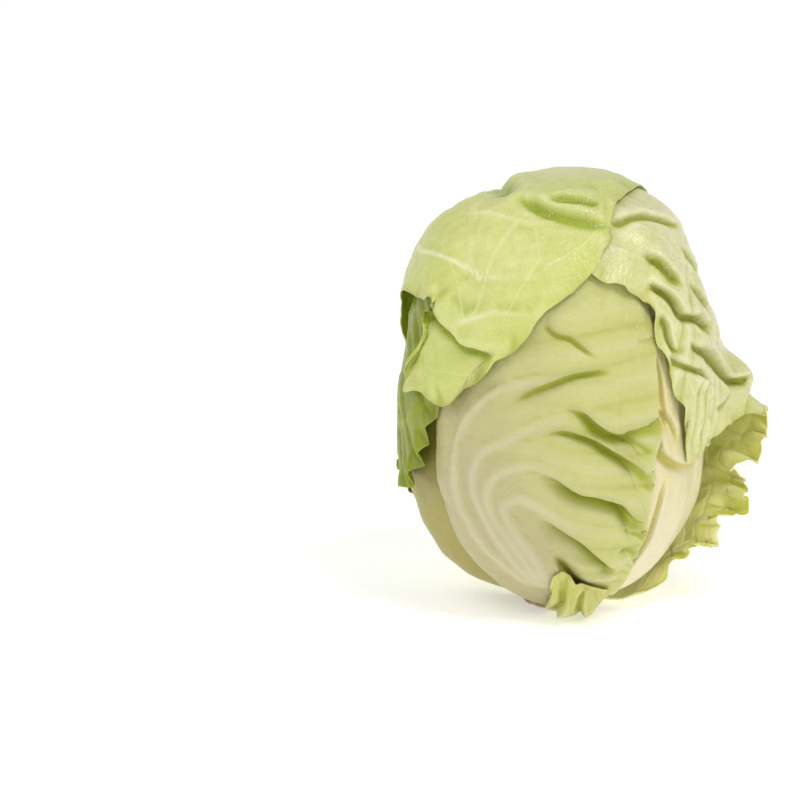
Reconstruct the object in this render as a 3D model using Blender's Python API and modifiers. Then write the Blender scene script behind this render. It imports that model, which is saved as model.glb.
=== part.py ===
"""A whole head of green cabbage standing on its cut stump, in metres, +Z up.

The origin is the middle of the stump's cut face. The front of the head looks along -Y and +X is at
its right. Every leaf is a thin sheet wrapped on one rounded head form, and is laid over the leaves
that grew inside it. Angles are longitudes (0 in front, 90 at the right) and latitudes on that form,
and a height in mm is measured outwards from it.
"""
from dataclasses import dataclass

import bmesh
import bpy
import numpy as np

MM = 0.001

# Driving dimensions in mm, except the powers
HEAD_CENTRE = (0.0, 0.0, 97.0)
HEAD_RADIUS = 65.0
HEAD_HALF_HEIGHT = 93.0
LOW_POWER = 2.1
HIGH_POWER = 2.6
HEART_DEPTH = 4.0
HEART_FULLNESS = 4.5
STUMP_RADIUS = 15.0
STUMP_NECK_RADIUS = 13.5
STUMP_HEIGHT = 12.0
STUMP_EDGE = 0.8
STUMP_GAP = 0.4
LEAF_THICKNESS = 1.1
LEAF_GAP = 0.7
FLOOR_GAP = 1.2
LEAST_FOLD = 8.0

# The grid of directions that the pile of leaves is measured in, the points read across each face,
# and how often a leaf is lifted before it is taken as clear
PILE_CELLS = (180, 90)
PILE_SAMPLES = 7
PILE_PASSES = 12

LEAF_GREEN = (0.56, 0.66, 0.22)
CREAM_GREEN = (0.68, 0.71, 0.40)
HEART_CREAM = (0.76, 0.74, 0.42)
STUMP_WHITE = (0.70, 0.66, 0.50)
LEAF_ROUGHNESS = 0.5
STUMP_ROUGHNESS = 0.75


def smooth(x):
    """The smoothstep 3x^2 - 2x^3 on x held between 0 and 1."""
    t = np.clip(x, 0.0, 1.0)
    return t * t * (3.0 - 2.0 * t)


def unit(v):
    """Vectors of length one along the last axis."""
    return v / (np.linalg.norm(v, axis=-1, keepdims=True) + 1e-12)


def toward(lon, lat):
    """Unit vectors for longitudes and latitudes in degrees."""
    a = np.radians(lon)
    b = np.radians(lat)
    return np.stack([np.cos(b) * np.sin(a), -np.cos(b) * np.cos(a), np.sin(b)], -1)


def spline(points, count):
    """A Catmull-Rom curve through points along the first axis, sampled evenly count times."""
    p = np.asarray(points, float)
    p = np.concatenate([2 * p[:1] - p[1:2], p, 2 * p[-1:] - p[-2:-1]])
    t = np.linspace(0, len(p) - 3, count)
    i = np.minimum(t.astype(int), len(p) - 4)
    f = (t - i).reshape((-1,) + (1,) * (p.ndim - 1))
    a, b, c, d = p[i], p[i + 1], p[i + 2], p[i + 3]
    return b + 0.5 * f * (c - a + f * (2 * a - 5 * b + 4 * c - d + f * (3 * (b - c) + d - a)))


def wander(s, wavelength, seed):
    """Smooth seeded values between -1 and 1 along s, with one knot for each wavelength."""
    knots = np.random.default_rng(seed).uniform(-1, 1, 512)
    t = np.asarray(s, float) / wavelength + 200.0
    i = np.floor(t).astype(int) % 512
    f = smooth(t - np.floor(t))
    return knots[i] * (1 - f) + knots[(i + 1) % 512] * f


class HeadForm:
    """The rounded form under the leaves: a swollen ellipsoid, squarer at its top than at the stump."""

    def __init__(self):
        self.centre = np.array(HEAD_CENTRE)
        self.axes = np.array([HEAD_RADIUS, HEAD_RADIUS, HEAD_HALF_HEIGHT])

    def surface(self, q):
        """Points on a form of size one in the directions q, and the power used at each."""
        n = LOW_POWER + (HIGH_POWER - LOW_POWER) * smooth((q[..., 2] + 0.9) / 1.2)
        level = np.hypot(q[..., 0], q[..., 1])
        size = (level ** n + np.abs(q[..., 2]) ** n) ** (-1 / n)
        return q * size[..., None], n

    def place(self, q, height):
        """Points in metres at a height in mm above the form in the directions q, and its normals."""
        p, n = self.surface(q)
        r = np.hypot(p[..., 0], p[..., 1]) + 1e-9
        side = r ** (n - 2)
        up = np.abs(p[..., 2]) ** (n - 1) * np.sign(p[..., 2])
        normal = unit(np.stack([side * p[..., 0], side * p[..., 1], up], -1) / self.axes)
        return (self.centre + p * self.axes + normal * height[..., None]) * MM, normal

    def measure(self, points):
        """The form's direction under each point, the ray out through it, and its height in mm."""
        d = points / MM - self.centre
        q = unit(d / self.axes)
        p, _ = self.surface(q)
        return q, unit(d), np.linalg.norm(d, axis=-1) - np.linalg.norm(p * self.axes, axis=-1)


def within_faces(points, s, t):
    """The point at the shares s and t across each face of a grid of points."""
    near = points[:-1, :-1] * (1 - s) + points[1:, :-1] * s
    far = points[:-1, 1:] * (1 - s) + points[1:, 1:] * s
    return near * (1 - t) + far * t


STEPS = np.linspace(0, 1, PILE_SAMPLES)
SAMPLES = [(s, t) for s in STEPS for t in STEPS]


class Pile:
    """The height in mm that the pieces laid so far reach, on a grid of directions round the form."""

    def __init__(self, form):
        self.form = form
        self.top = np.full(PILE_CELLS, -40.0)

    def cells(self, q):
        """The grid cell of each direction."""
        across, down = PILE_CELLS
        lon = np.degrees(np.arctan2(q[..., 0], -q[..., 1])) % 360
        lat = np.degrees(np.arcsin(np.clip(q[..., 2], -1, 1)))
        i = (lon / 360 * across).astype(int) % across
        return i, np.clip(((lat + 90) / 180 * down).astype(int), 0, down - 1)

    def lay(self, points):
        """Adds a sheet, given as a grid of points, to the pile."""
        for s, t in SAMPLES:
            q, _, h = self.form.measure(within_faces(points, s, t))
            np.maximum.at(self.top, self.cells(q), h)

    def spread(self):
        """The pile with each cell raised to the highest of its neighbours."""
        top = np.maximum(self.top, np.maximum(np.roll(self.top, 1, 0), np.roll(self.top, -1, 0)))
        wide = top.copy()
        wide[:, 1:] = np.maximum(wide[:, 1:], top[:, :-1])
        wide[:, :-1] = np.maximum(wide[:, :-1], top[:, 1:])
        return wide

    def lift(self, points):
        """The points moved out along their rays until every face clears what lies under it."""
        top = self.spread() + LEAF_THICKNESS + LEAF_GAP
        for _ in range(PILE_PASSES):
            need = np.zeros(points.shape[:2])
            for s, t in SAMPLES:
                q, _, h = self.form.measure(within_faces(points, s, t))
                short = top[self.cells(q)] - h
                for corner in (need[:-1, :-1], need[1:, :-1], need[1:, 1:], need[:-1, 1:]):
                    np.maximum(corner, short, out=corner)
            _, ray, _ = self.form.measure(points)
            points = points + ray * (need * MM)[..., None]
        return points


@dataclass(frozen=True)
class Fold:
    """A crease whose lip, on the left of its path, laps over the pit on its right. Sizes in mm."""

    path: tuple
    width: float
    lip: float
    pit: float
    lap: float
    fade: tuple
    step: float = 1.0

    def bend(self, base, normal, form):
        """The height in mm and the sideways shift in metres that the fold gives each point."""
        ends = np.array(self.path, float)
        line, _ = form.place(unit(spline(toward(ends[:, 0], ends[:, 1]), 28)), np.zeros(28))
        start = line[:-1]
        run = line[1:] - start
        length = np.linalg.norm(run, axis=1)
        rel = base[..., None, :] - start
        t = np.clip((rel * run).sum(-1) / length ** 2, 0, 1)
        off = rel - t[..., None] * run
        far = np.linalg.norm(off, axis=-1)
        near = far.argmin(-1)[..., None]
        pick = near[..., None]
        off = np.take_along_axis(off, pick, -2)[..., 0, :]
        tangent = (run / length[:, None])[near[..., 0]]
        passed = np.concatenate([[0], np.cumsum(length)[:-1]])
        share = (passed + t * length) / length.sum()
        share = np.take_along_axis(share, near, -1)[..., 0]
        across = unit(np.cross(normal, tangent))
        s = np.sign((across * off).sum(-1)) * np.take_along_axis(far, near, -1)[..., 0] / MM
        width = max(self.width, LEAST_FOLD)
        grow = smooth(share / self.fade[0]) * smooth((1 - share) / self.fade[1])
        over = smooth(0.5 + 0.5 * s / max(self.step, 0.25 * LEAST_FOLD))
        lip = over * self.lip * np.exp(-(s / width) ** 2)
        pit = (1 - over) * self.pit * np.exp(-(s / (0.6 * width)) ** 2)
        lap = grow * over * self.lap * self.width / width * np.exp(-(s / (0.8 * width)) ** 2)
        return grow * (lip - pit), -across * (lap * MM)[..., None]


@dataclass(frozen=True)
class Ruffle:
    """A frill along the free margin. Lengths in mm, span as shares of the margin's length."""

    wave: float
    swing: float
    reach: float
    lobe: float
    sway: float = 0.0
    curl: float = 0.0
    span: tuple = (0.0, 1.0)
    phase: float = 0.0
    seed: int = 1

    def bend(self, s, back, along, out, face):
        """The shift in metres from s and back, the ways along the margin and in from it, in mm."""
        share = s / s[-1, 0]
        gate = smooth((share - self.span[0]) / 0.07) * smooth((self.span[1] - share) / 0.07)
        fall = smooth(1 - back / self.reach)
        turn = 2 * np.pi * (s / self.wave + 0.35 * wander(s, self.wave * 1.7, self.seed)) + self.phase
        strength = 0.8 + 0.35 * wander(s, self.wave * 2.3, self.seed + 1)
        swing = self.swing * strength * fall * np.sin(turn) + self.curl * fall ** 2
        sway = self.sway * strength * fall * np.sin(2 * turn + 0.6)
        lobe = self.lobe * fall * (1.0 - 2.0 * np.sin(0.5 * turn + 0.5) ** 4)
        move = face * swing[..., None] + along * sway[..., None] + out * lobe[..., None]
        return move * (gate * MM)[..., None]


@dataclass(frozen=True)
class Leaf:
    """A leaf drawn by guide lines from its foot to its margin, rows of (longitude, latitude, height).

    The guides run side by side, and their last points are the free margin. The grid is the number
    of points across the guides and along them.
    """

    name: str
    color: tuple
    grid: tuple
    guides: tuple
    folds: tuple = ()
    ruffles: tuple = ()
    crumple: float = 0.8
    crumple_size: float = 14.0
    seed: int = 1

    def sheet(self, form):
        """The leaf's outer face as a grid of points in metres."""
        guides = np.array(self.guides, float)
        marks = np.concatenate([toward(guides[..., 0], guides[..., 1]), guides[..., 2:]], -1)
        across, along = self.grid
        lines = np.moveaxis(spline(np.moveaxis(marks, 1, 0), along), 0, 1)
        grid = spline(lines, across)
        q = unit(grid[..., :3])
        height = grid[..., 3]
        base, normal = form.place(q, np.zeros_like(height))
        shift = np.zeros_like(base)
        for fold in self.folds:
            rise, slip = fold.bend(base, normal, form)
            height = height + rise
            shift = shift + slip
        height = height + self.swell(base)
        points, _ = form.place(q, height)
        points = points + shift
        return points + self.frill(points, normal)

    def swell(self, base):
        """Soft uneven swelling in mm, a sum of tilted sine waves that fades out at the foot."""
        rng = np.random.default_rng(self.seed)
        foot = smooth(np.linspace(0, 3, base.shape[1]))
        total = np.zeros(base.shape[:2])
        for k in range(4):
            way = unit(rng.normal(size=3)) * 2 * np.pi / (self.crumple_size * (1 + 0.6 * k))
            total += 0.5 * self.crumple * np.sin(base @ way / MM + rng.uniform(0, 6.3)) * foot
        return total

    def frill(self, points, normal):
        """The shift of each point by the ruffles of the free margin, in metres."""
        steps = np.linalg.norm(np.diff(points[:, -1], axis=0), axis=1)
        s = np.concatenate([[0], np.cumsum(steps)])[:, None] / MM + np.zeros(points.shape[:2])
        inward = np.linalg.norm(np.diff(points, axis=1), axis=2)[:, ::-1]
        back = np.concatenate([np.zeros((len(points), 1)), np.cumsum(inward, axis=1)], 1)[:, ::-1] / MM
        along = unit(np.gradient(points, axis=0))
        out = unit(np.gradient(points, axis=1))
        face = unit(np.cross(along, out))
        face = face * np.sign((face * normal).sum(-1).mean())
        out = np.broadcast_to(out[:, -1:], out.shape)
        shift = np.zeros_like(points)
        for ruffle in self.ruffles:
            shift += ruffle.bend(s, back, along, out, face)
        return shift


# A pale leaf under the others, from the front round the left side to the back
LEFT_LEAF = Leaf(
    name="left_leaf",
    color=CREAM_GREEN,
    grid=(14, 12),
    guides=(
        ((0, -75, -2), (-18, -50, -2), (-28, -25, -2), (-30, 0, -2), (-30, 20, -2)),
        ((-30, -75, 0), (-50, -50, 0), (-58, -25, 0), (-60, 0, 0), (-58, 25, -1)),
        ((-60, -75, 1), (-78, -50, 3), (-86, -25, 3), (-88, 5, 2), (-85, 35, 0)),
        ((-100, -75, 1), (-115, -50, 2), (-120, -25, 2), (-118, 10, 1), (-110, 40, 0)),
        ((-140, -75, 1), (-150, -50, 1), (-155, -25, 1), (-150, 10, 0), (-140, 40, 0)),
    ),
    crumple=0.6,
    seed=14,
)

# The cream leaf seen low at the right, between the front leaf and the frilled one
INNER_LEAF = Leaf(
    name="inner_leaf",
    color=HEART_CREAM,
    grid=(14, 12),
    guides=(
        ((20, -75, 1), (30, -62, 2), (37, -50, 2), (38, -36, 1), (36, -22, 0), (33, -10, -1)),
        ((35, -75, 1), (44, -60, 4), (47, -47, 4), (45, -32, 3), (43, -20, 2), (44, -11, 1)),
        ((55, -75, 1), (62, -58, 5), (64, -43, 5), (62, -30, 4), (61, -19, 3), (62, -12, 2)),
        ((75, -75, 1), (82, -55, 4), (84, -40, 4), (84, -28, 4), (84, -18, 3), (84, -10, 1)),
        ((100, -75, 0), (106, -55, 1), (108, -40, 1), (108, -28, 1), (108, -15, 0), (108, -5, -1)),
    ),
    folds=(Fold(((44, -18), (43, -27), (44, -36), (42, -46), (38, -56)), 4, 2.0, 1.5, 1.0, (0.1, 0.3)),),
    ruffles=(Ruffle(wave=22, swing=0.8, reach=8, lobe=0.8, seed=51),),
    crumple=0.5,
    seed=19,
)

# The large pale leaf in front, smooth at its foot and puckered towards its right margin
FRONT_LEAF = Leaf(
    name="front_leaf",
    color=CREAM_GREEN,
    grid=(26, 24),
    guides=(
        ((-8, -75, 4), (-36, -62, 4), (-54, -36, 4), (-53, -4, 4), (-40, 26, 4), (0, 45, 3), (36, 40, 2)),
        ((-5, -75, 4), (-28, -48, 4), (-44, -20, 5), (-36, 3, 5), (-14, 13, 6), (10, 16, 5), (37, 18, 2)),
        ((-2, -75, 4), (-18, -43, 4), (-30, -22, 5), (-21, -11, 5), (-4, -12, 6), (14, -15, 5), (37, -17, 2)),
        ((2, -75, 4), (-3, -57, 4), (-11, -38, 5), (-4, -32, 5), (9, -36, 6), (24, -39, 5), (40, -41, 2)),
        ((8, -75, 4), (12, -71, 4), (17, -66, 4), (23, -63, 5), (30, -61, 5), (37, -60, 4), (43, -59, 3)),
    ),
    folds=(
        Fold(((-9, 27), (-4, 24), (1, 23), (7, 20), (12, 18)), 7, 1.0, 3.0, 0.5, (0.1, 0.4)),
        Fold(((-24, 4), (-14, 9), (-5, 12), (3, 14), (12, 14.5), (19, 15)), 8, 2.5, 4.0, 1.5, (0.5, 0.3)),
        Fold(((-4, 5), (6, 4), (12, 1), (18, -1.5), (24, -1), (33, 0), (40, 2)),
             7, 3.5, 5.0, 3.0, (0.5, 0.02)),
        Fold(((-12, -3), (-2, -1), (9, -3), (18, -7), (27, -11), (33, -14), (40, -13)),
             6, 2.0, 3.5, 1.0, (0.5, 0.02)),
        Fold(((-12, -13), (-4, -14), (5, -17), (13, -18.5), (22, -21), (28, -25), (34, -27), (40, -29)),
             8, 3.5, 6.0, 3.0, (0.4, 0.02)),
        Fold(((-14, -25), (-4, -27), (6, -31), (14, -36), (24, -42), (30, -46)),
             8, 3.0, 4.0, 1.5, (0.5, 0.1)),
        Fold(((30, -61), (20, -60), (8, -54), (0, -46), (-6, -36)), 5, 2.5, 2.0, 1.5, (0.1, 0.3)),
    ),
    ruffles=(Ruffle(wave=21, swing=1.4, sway=0.6, reach=10, lobe=1.2, curl=-1.5, seed=4),),
    crumple=0.9,
    crumple_size=17.0,
    seed=3,
)

# The trimmed foot of an outer leaf, left on the stump in front
BASE_LEAF = Leaf(
    name="base_leaf",
    color=CREAM_GREEN,
    grid=(12, 6),
    guides=(
        ((-12, -75, 6), (-14, -71, 7), (-14, -67, 7), (-12, -63, 7)),
        ((6, -75, 6), (4, -70, 8), (3, -64, 9), (2, -58, 9)),
        ((24, -75, 6), (22, -70, 8), (20, -64, 10), (18, -58, 11)),
        ((42, -75, 6), (41, -70, 8), (40, -65, 9), (38, -60, 10)),
        ((60, -75, 5), (60, -71, 6), (60, -67, 7), (59, -63, 8)),
    ),
    ruffles=(Ruffle(wave=27, swing=1.0, reach=8, lobe=1.0, seed=31),),
    crumple=0.3,
    seed=17,
)

# The leaf at the left shoulder, whose curled lobe hangs below the crown leaf
SHOULDER_LEAF = Leaf(
    name="shoulder_leaf",
    color=LEAF_GREEN,
    grid=(16, 14),
    guides=(
        ((-95, -75, 4), (-99, -62, 5), (-98, -50, 6), (-95, -41, 8), (-86, -36, 10)),
        ((-100, -75, 4), (-106, -52, 5), (-104, -34, 6), (-97, -22, 8), (-83, -21, 11)),
        ((-106, -75, 4), (-114, -42, 4), (-112, -18, 4), (-92, -6, 6), (-66, -9, 9)),
        ((-112, -75, 4), (-122, -35, 3), (-118, 0, 4), (-90, 12, 5), (-57, 6, 5)),
        ((-120, -75, 3), (-132, -25, 3), (-130, 15, 4), (-100, 38, 3), (-52, 30, 3)),
        ((-128, -75, 3), (-142, -20, 2), (-145, 20, 3), (-130, 45, 3), (-100, 58, 3)),
    ),
    ruffles=(Ruffle(wave=20, swing=2.5, sway=1.0, reach=12, lobe=2.0, span=(0.0, 0.75), seed=41),),
    seed=15,
)

# The wrapper leaf at the right, whose frilled margin stands well off the head
RIGHT_LEAF = Leaf(
    name="right_leaf",
    color=LEAF_GREEN,
    grid=(28, 18),
    guides=(
        ((62, -75, 3), (66, -70, 5), (67, -66, 8), (66, -63, 10), (64, -61, 12)),
        ((80, -75, 3), (86, -64, 4), (84, -56, 8), (78, -51, 13), (74, -48, 17)),
        ((96, -75, 3), (102, -58, 3), (98, -44, 6), (90, -38, 15), (85, -35, 23)),
        ((108, -75, 3), (117, -48, 2), (110, -28, 4), (98, -21, 15), (88, -20, 29)),
        ((120, -75, 3), (131, -38, 2), (122, -14, 3), (102, -5, 13), (88, -4, 29)),
        ((134, -75, 2), (147, -28, 1), (140, 2, 1), (112, 12, 6), (90, 12, 16)),
        ((150, -75, 2), (166, -20, 1), (165, 20, 0), (130, 30, 2), (92, 26, 6)),
        ((170, -75, 2), (-170, -20, 1), (-172, 28, 0), (170, 52, 0), (110, 50, 0)),
    ),
    ruffles=(Ruffle(wave=27, swing=4.5, sway=2.0, reach=26, lobe=3.0, span=(0.0, 0.72), phase=1.0, seed=21),),
    crumple=0.9,
    seed=11,
)

# The folded leaf over the right of the crown, with a tongue that hangs down in front
CROWN_RIGHT_LEAF = Leaf(
    name="crown_right_leaf",
    color=LEAF_GREEN,
    grid=(26, 20),
    guides=(
        ((128, -42, 4), (122, -22, 5), (114, -8, 8), (106, 0, 16), (98, 4, 24), (90, 2, 28)),
        ((132, -42, 4), (126, -12, 6), (116, 4, 9), (105, 11, 15), (94, 13, 21), (84, 7, 22)),
        ((136, -40, 4), (130, -2, 6), (120, 16, 7), (103, 22, 9), (86, 22, 12), (77, 11, 12)),
        ((140, -40, 4), (135, 4, 5), (124, 25, 6), (100, 30, 7), (77, 22, 9), (67, -9, 8)),
        ((144, -40, 4), (140, 11, 5), (129, 34, 6), (98, 38, 7), (68, 24, 7), (55, -12, 8)),
        ((149, -40, 4), (147, 17, 5), (135, 43, 5), (97, 47, 6), (60, 30, 7), (47, 8, 6)),
        ((154, -40, 4), (154, 22, 4), (142, 52, 5), (92, 58, 6), (50, 42, 6), (35, 26, 5)),
        ((160, -40, 4), (162, 26, 4), (150, 62, 4), (70, 72, 5), (18, 56, 5), (10, 36, 5)),
        ((166, -40, 3), (170, 30, 3), (165, 70, 4), (10, 80, 4), (-16, 62, 4), (-14, 44, 4)),
    ),
    folds=(
        Fold(((25, 50), (37, 51), (48, 50), (59, 48), (69, 44)), 7, 2.5, 2.0, 1.5, (0.2, 0.3)),
        Fold(((56, 26), (49, 32), (46, 35), (42, 37), (36, 40)), 7, 1.5, 4.0, 0.8, (0.4, 0.3)),
        Fold(((36, 32), (44, 30), (49, 27), (56, 23), (67, 21), (75, 18)), 8, 4.0, 4.0, 2.5, (0.3, 0.2)),
        Fold(((54, 17), (60, 16), (68, 13), (74, 11)), 8, 3.0, 3.0, 1.5, (0.3, 0.1)),
    ),
    ruffles=(Ruffle(wave=20, swing=1.5, sway=0.5, reach=9, lobe=1.2, seed=12),),
    seed=8,
)

# The largest leaf, from the back over the top and the left side, with a tuck across the crown
CROWN_LEAF = Leaf(
    name="crown_leaf",
    color=LEAF_GREEN,
    grid=(32, 24),
    guides=(
        ((-118, -75, 6), (-118, -52, 6), (-116, -32, 6), (-112, -14, 7), (-106, -2, 7), (-97, -8, 8)),
        ((-122, -75, 6), (-127, -42, 6), (-126, -12, 6), (-119, 10, 7), (-103, 18, 8), (-86, 2, 9)),
        ((-127, -75, 6), (-134, -34, 5), (-134, 4, 7), (-120, 30, 8), (-90, 30, 9), (-72, 1, 9)),
        ((-131, -75, 6), (-140, -26, 5), (-140, 14, 7), (-112, 46, 9), (-72, 36, 9), (-58, 1, 9)),
        ((-135, -75, 6), (-146, -22, 5), (-146, 22, 7), (-108, 54, 9), (-54, 36, 9), (-47, 1, 8)),
        ((-139, -75, 6), (-151, -20, 5), (-153, 26, 7), (-108, 60, 9), (-38, 38, 9), (-33, 9, 8)),
        ((-144, -75, 6), (-157, -18, 5), (-162, 30, 7), (-115, 68, 8), (-26, 50, 9), (-6, 27, 8)),
        ((-149, -75, 6), (-164, -16, 5), (-172, 34, 7), (-140, 77, 8), (-5, 64, 8), (23, 46, 8)),
        ((-154, -75, 6), (-171, -18, 5), (177, 34, 7), (150, 76, 8), (60, 76, 8), (40, 58, 8)),
        ((-160, -75, 6), (-178, -28, 5), (168, 8, 6), (156, 34, 7), (142, 52, 8), (118, 62, 8)),
    ),
    folds=(
        Fold(((-34, 59), (-27, 58), (-12, 55), (-3, 52), (7, 50), (17, 49), (27, 48)),
             8, 3.5, 3.0, 4.0, (0.35, 0.02)),
        Fold(((-10, 59), (2, 57.5), (12, 56), (21, 56), (32, 55)), 6, 2.5, 4.0, 2.0, (0.3, 0.02)),
        Fold(((-60, 30), (-52, 25), (-42, 20), (-33, 18), (-25, 17.5), (-18, 17)),
             9, 3.5, 2.5, 4.0, (0.05, 0.2)),
        Fold(((-75, 62), (-58, 58), (-45, 52)), 14, 0.0, 5.0, 0.0, (0.2, 0.5), 8.0),
    ),
    ruffles=(Ruffle(wave=30, swing=1.6, sway=0.6, reach=12, lobe=1.5, span=(0.0, 0.85), seed=9),),
    crumple=1.0,
    crumple_size=26.0,
    seed=5,
)

# From the innermost leaf to the outermost, in the order that they are laid
LEAVES = (
    LEFT_LEAF,
    INNER_LEAF,
    FRONT_LEAF,
    BASE_LEAF,
    SHOULDER_LEAF,
    RIGHT_LEAF,
    CROWN_RIGHT_LEAF,
    CROWN_LEAF,
)


def clear_scene():
    """Removes every object of the scene."""
    for item in list(bpy.data.objects):
        bpy.data.objects.remove(item, do_unlink=True)


def plain_material(name, color, roughness):
    """A Principled material of one colour."""
    material = bpy.data.materials.new(name)
    material.use_nodes = True
    shader = material.node_tree.nodes["Principled BSDF"]
    shader.inputs["Base Color"].default_value = (*color, 1.0)
    shader.inputs["Roughness"].default_value = roughness
    shader.inputs["Metallic"].default_value = 0.0
    return material


def add_object(name, mesh, collection, color, roughness):
    """An object of the mesh in the collection, shaded smooth, with a material of its own."""
    piece = bpy.data.objects.new(name, mesh)
    collection.objects.link(piece)
    mesh.materials.append(plain_material(name + "_surface", color, roughness))
    mesh.shade_smooth()
    return piece


def build_stump(collection):
    """The cut stump: a short cone whose lower face is flat on the ground, with a softened edge."""
    mesh = bpy.data.meshes.new("stump")
    shape = bmesh.new()
    bmesh.ops.create_cone(shape, cap_ends=True, segments=32, radius1=STUMP_RADIUS * MM,
                          radius2=STUMP_NECK_RADIUS * MM, depth=STUMP_HEIGHT * MM)
    bmesh.ops.translate(shape, verts=shape.verts, vec=(0, 0, STUMP_HEIGHT / 2 * MM))
    shape.to_mesh(mesh)
    shape.free()
    stump = add_object("stump", mesh, collection, STUMP_WHITE, STUMP_ROUGHNESS)
    edge = stump.modifiers.new("worn edge", "BEVEL")
    edge.width = STUMP_EDGE * MM
    edge.segments = 2
    edge.limit_method = "ANGLE"
    mesh.set_sharp_from_angle(angle=np.radians(40))
    return stump


def heart_height(q):
    """How far the heart stands below the form in mm: fuller at the right, where it shows."""
    aim = toward(np.array(68.0), np.array(8.0))
    near = np.clip((q * aim).sum(-1), 0, 1)
    return -HEART_DEPTH + HEART_FULLNESS * smooth((near - 0.62) / 0.3)


def build_heart(collection, form):
    """The dense inner leaves as one solid, flat underneath where the stump carries it."""
    mesh = bpy.data.meshes.new("heart")
    shape = bmesh.new()
    bmesh.ops.create_uvsphere(shape, u_segments=36, v_segments=22, radius=1.0)
    bmesh.ops.triangulate(shape, faces=shape.faces)
    shape.to_mesh(mesh)
    shape.free()
    q = np.empty(len(mesh.vertices) * 3)
    mesh.vertices.foreach_get("co", q)
    q = unit(q.reshape(-1, 3))
    points, _ = form.place(q, heart_height(q))
    points[:, 2] = np.maximum(points[:, 2], (STUMP_HEIGHT + STUMP_GAP) * MM)
    mesh.vertices.foreach_set("co", points.ravel())
    mesh.update()
    return add_object("heart", mesh, collection, HEART_CREAM, LEAF_ROUGHNESS)


def heart_sheet(form):
    """The heart's surface as a grid of points, for the pile that the leaves are laid on."""
    lon, lat = np.meshgrid(np.linspace(-180, 180, 91), np.linspace(-89, 89, 46), indexing="ij")
    q = toward(lon, lat)
    return form.place(q, heart_height(q))[0]


def outward_triangles(points, centre):
    """Two triangles for each face of a grid of points, wound so that most of them look outwards."""
    across, along = points.shape[:2]
    index = np.arange(across * along).reshape(across, along)
    a, b, c, d = index[:-1, :-1], index[1:, :-1], index[1:, 1:], index[:-1, 1:]
    faces = np.concatenate([np.stack([a, b, c], -1), np.stack([a, c, d], -1)]).reshape(-1, 3)
    flat = points.reshape(-1, 3)
    first, second, third = flat[faces[:, 0]], flat[faces[:, 1]], flat[faces[:, 2]]
    normal = np.cross(second - first, third - first)
    if (normal * (first - centre * MM)).sum() < 0:
        faces = faces[:, ::-1]
    return faces


def build_leaf(leaf, collection, form, pile):
    """A leaf laid on the pile: its sheet in triangles, thickened inwards."""
    points = pile.lift(leaf.sheet(form))
    points[..., 2] = np.maximum(points[..., 2], FLOOR_GAP * MM)
    pile.lay(points)
    faces = outward_triangles(points, form.centre)
    mesh = bpy.data.meshes.new(leaf.name)
    mesh.from_pydata(points.reshape(-1, 3).tolist(), [], faces.tolist())
    mesh.update()
    piece = add_object(leaf.name, mesh, collection, leaf.color, LEAF_ROUGHNESS)
    wall = piece.modifiers.new("leaf thickness", "SOLIDIFY")
    wall.thickness = LEAF_THICKNESS * MM
    wall.offset = -1.0
    return piece


def main():
    """Builds the head from the stump outwards."""
    clear_scene()
    collection = bpy.data.collections.new("cabbage_head")
    bpy.context.scene.collection.children.link(collection)
    form = HeadForm()
    pile = Pile(form)
    build_stump(collection)
    build_heart(collection, form)
    pile.lay(heart_sheet(form))
    for leaf in LEAVES:
        build_leaf(leaf, collection, form, pile)


main()
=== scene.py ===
"""Looks of a whole head of green cabbage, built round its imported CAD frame, in a plain pale studio.

Every leaf is one closed sheet with a real thickness, wrapped on the same rounded head form as its
CAD leaf and laid over the leaves that grew inside it. Angles are longitudes (0 in front, 90 at the
right) and latitudes on the form, and heights in mm are measured outwards from it.
"""

import logging
import math
from dataclasses import dataclass, field
from enum import Enum

import bpy
import numpy as np
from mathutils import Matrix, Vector


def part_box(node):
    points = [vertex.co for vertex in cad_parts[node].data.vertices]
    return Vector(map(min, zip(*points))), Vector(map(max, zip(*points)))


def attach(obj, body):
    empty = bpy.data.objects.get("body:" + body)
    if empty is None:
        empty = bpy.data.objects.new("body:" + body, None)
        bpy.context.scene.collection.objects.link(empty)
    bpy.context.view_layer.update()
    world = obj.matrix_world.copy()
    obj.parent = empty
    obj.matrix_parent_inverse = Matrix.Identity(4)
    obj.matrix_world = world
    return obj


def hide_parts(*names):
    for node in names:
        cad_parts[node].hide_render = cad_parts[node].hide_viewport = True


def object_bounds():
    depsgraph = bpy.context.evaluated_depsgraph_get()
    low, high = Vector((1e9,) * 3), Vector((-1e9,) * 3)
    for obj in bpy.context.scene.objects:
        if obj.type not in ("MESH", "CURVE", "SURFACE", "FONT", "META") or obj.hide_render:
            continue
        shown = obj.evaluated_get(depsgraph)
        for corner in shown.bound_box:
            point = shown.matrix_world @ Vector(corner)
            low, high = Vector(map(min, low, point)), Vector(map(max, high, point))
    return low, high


Array = np.ndarray
LOG = logging.getLogger("cabbage_head")
MM = 0.001
# How far inside the CAD box the leaves stay, and over what depth they are eased in, in mm
BOX_GAP = 0.9
EASE = 2.0
# How far the leaves stay above the floor, in mm
FLOOR_GAP = 1.3
# How many seeded values a wandering line has, and how far into them it starts
KNOTS = 512
KNOT_START = 200.0
# How much thinner a leaf is at its margin, and how far its rim bulges, as shares of its thickness
MARGIN_THINNING = 0.5
RIM_BULGE = 0.35
# What a leaf keeps clear of those under it besides its own thickness, in mm
CLEARANCE = 0.7

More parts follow.
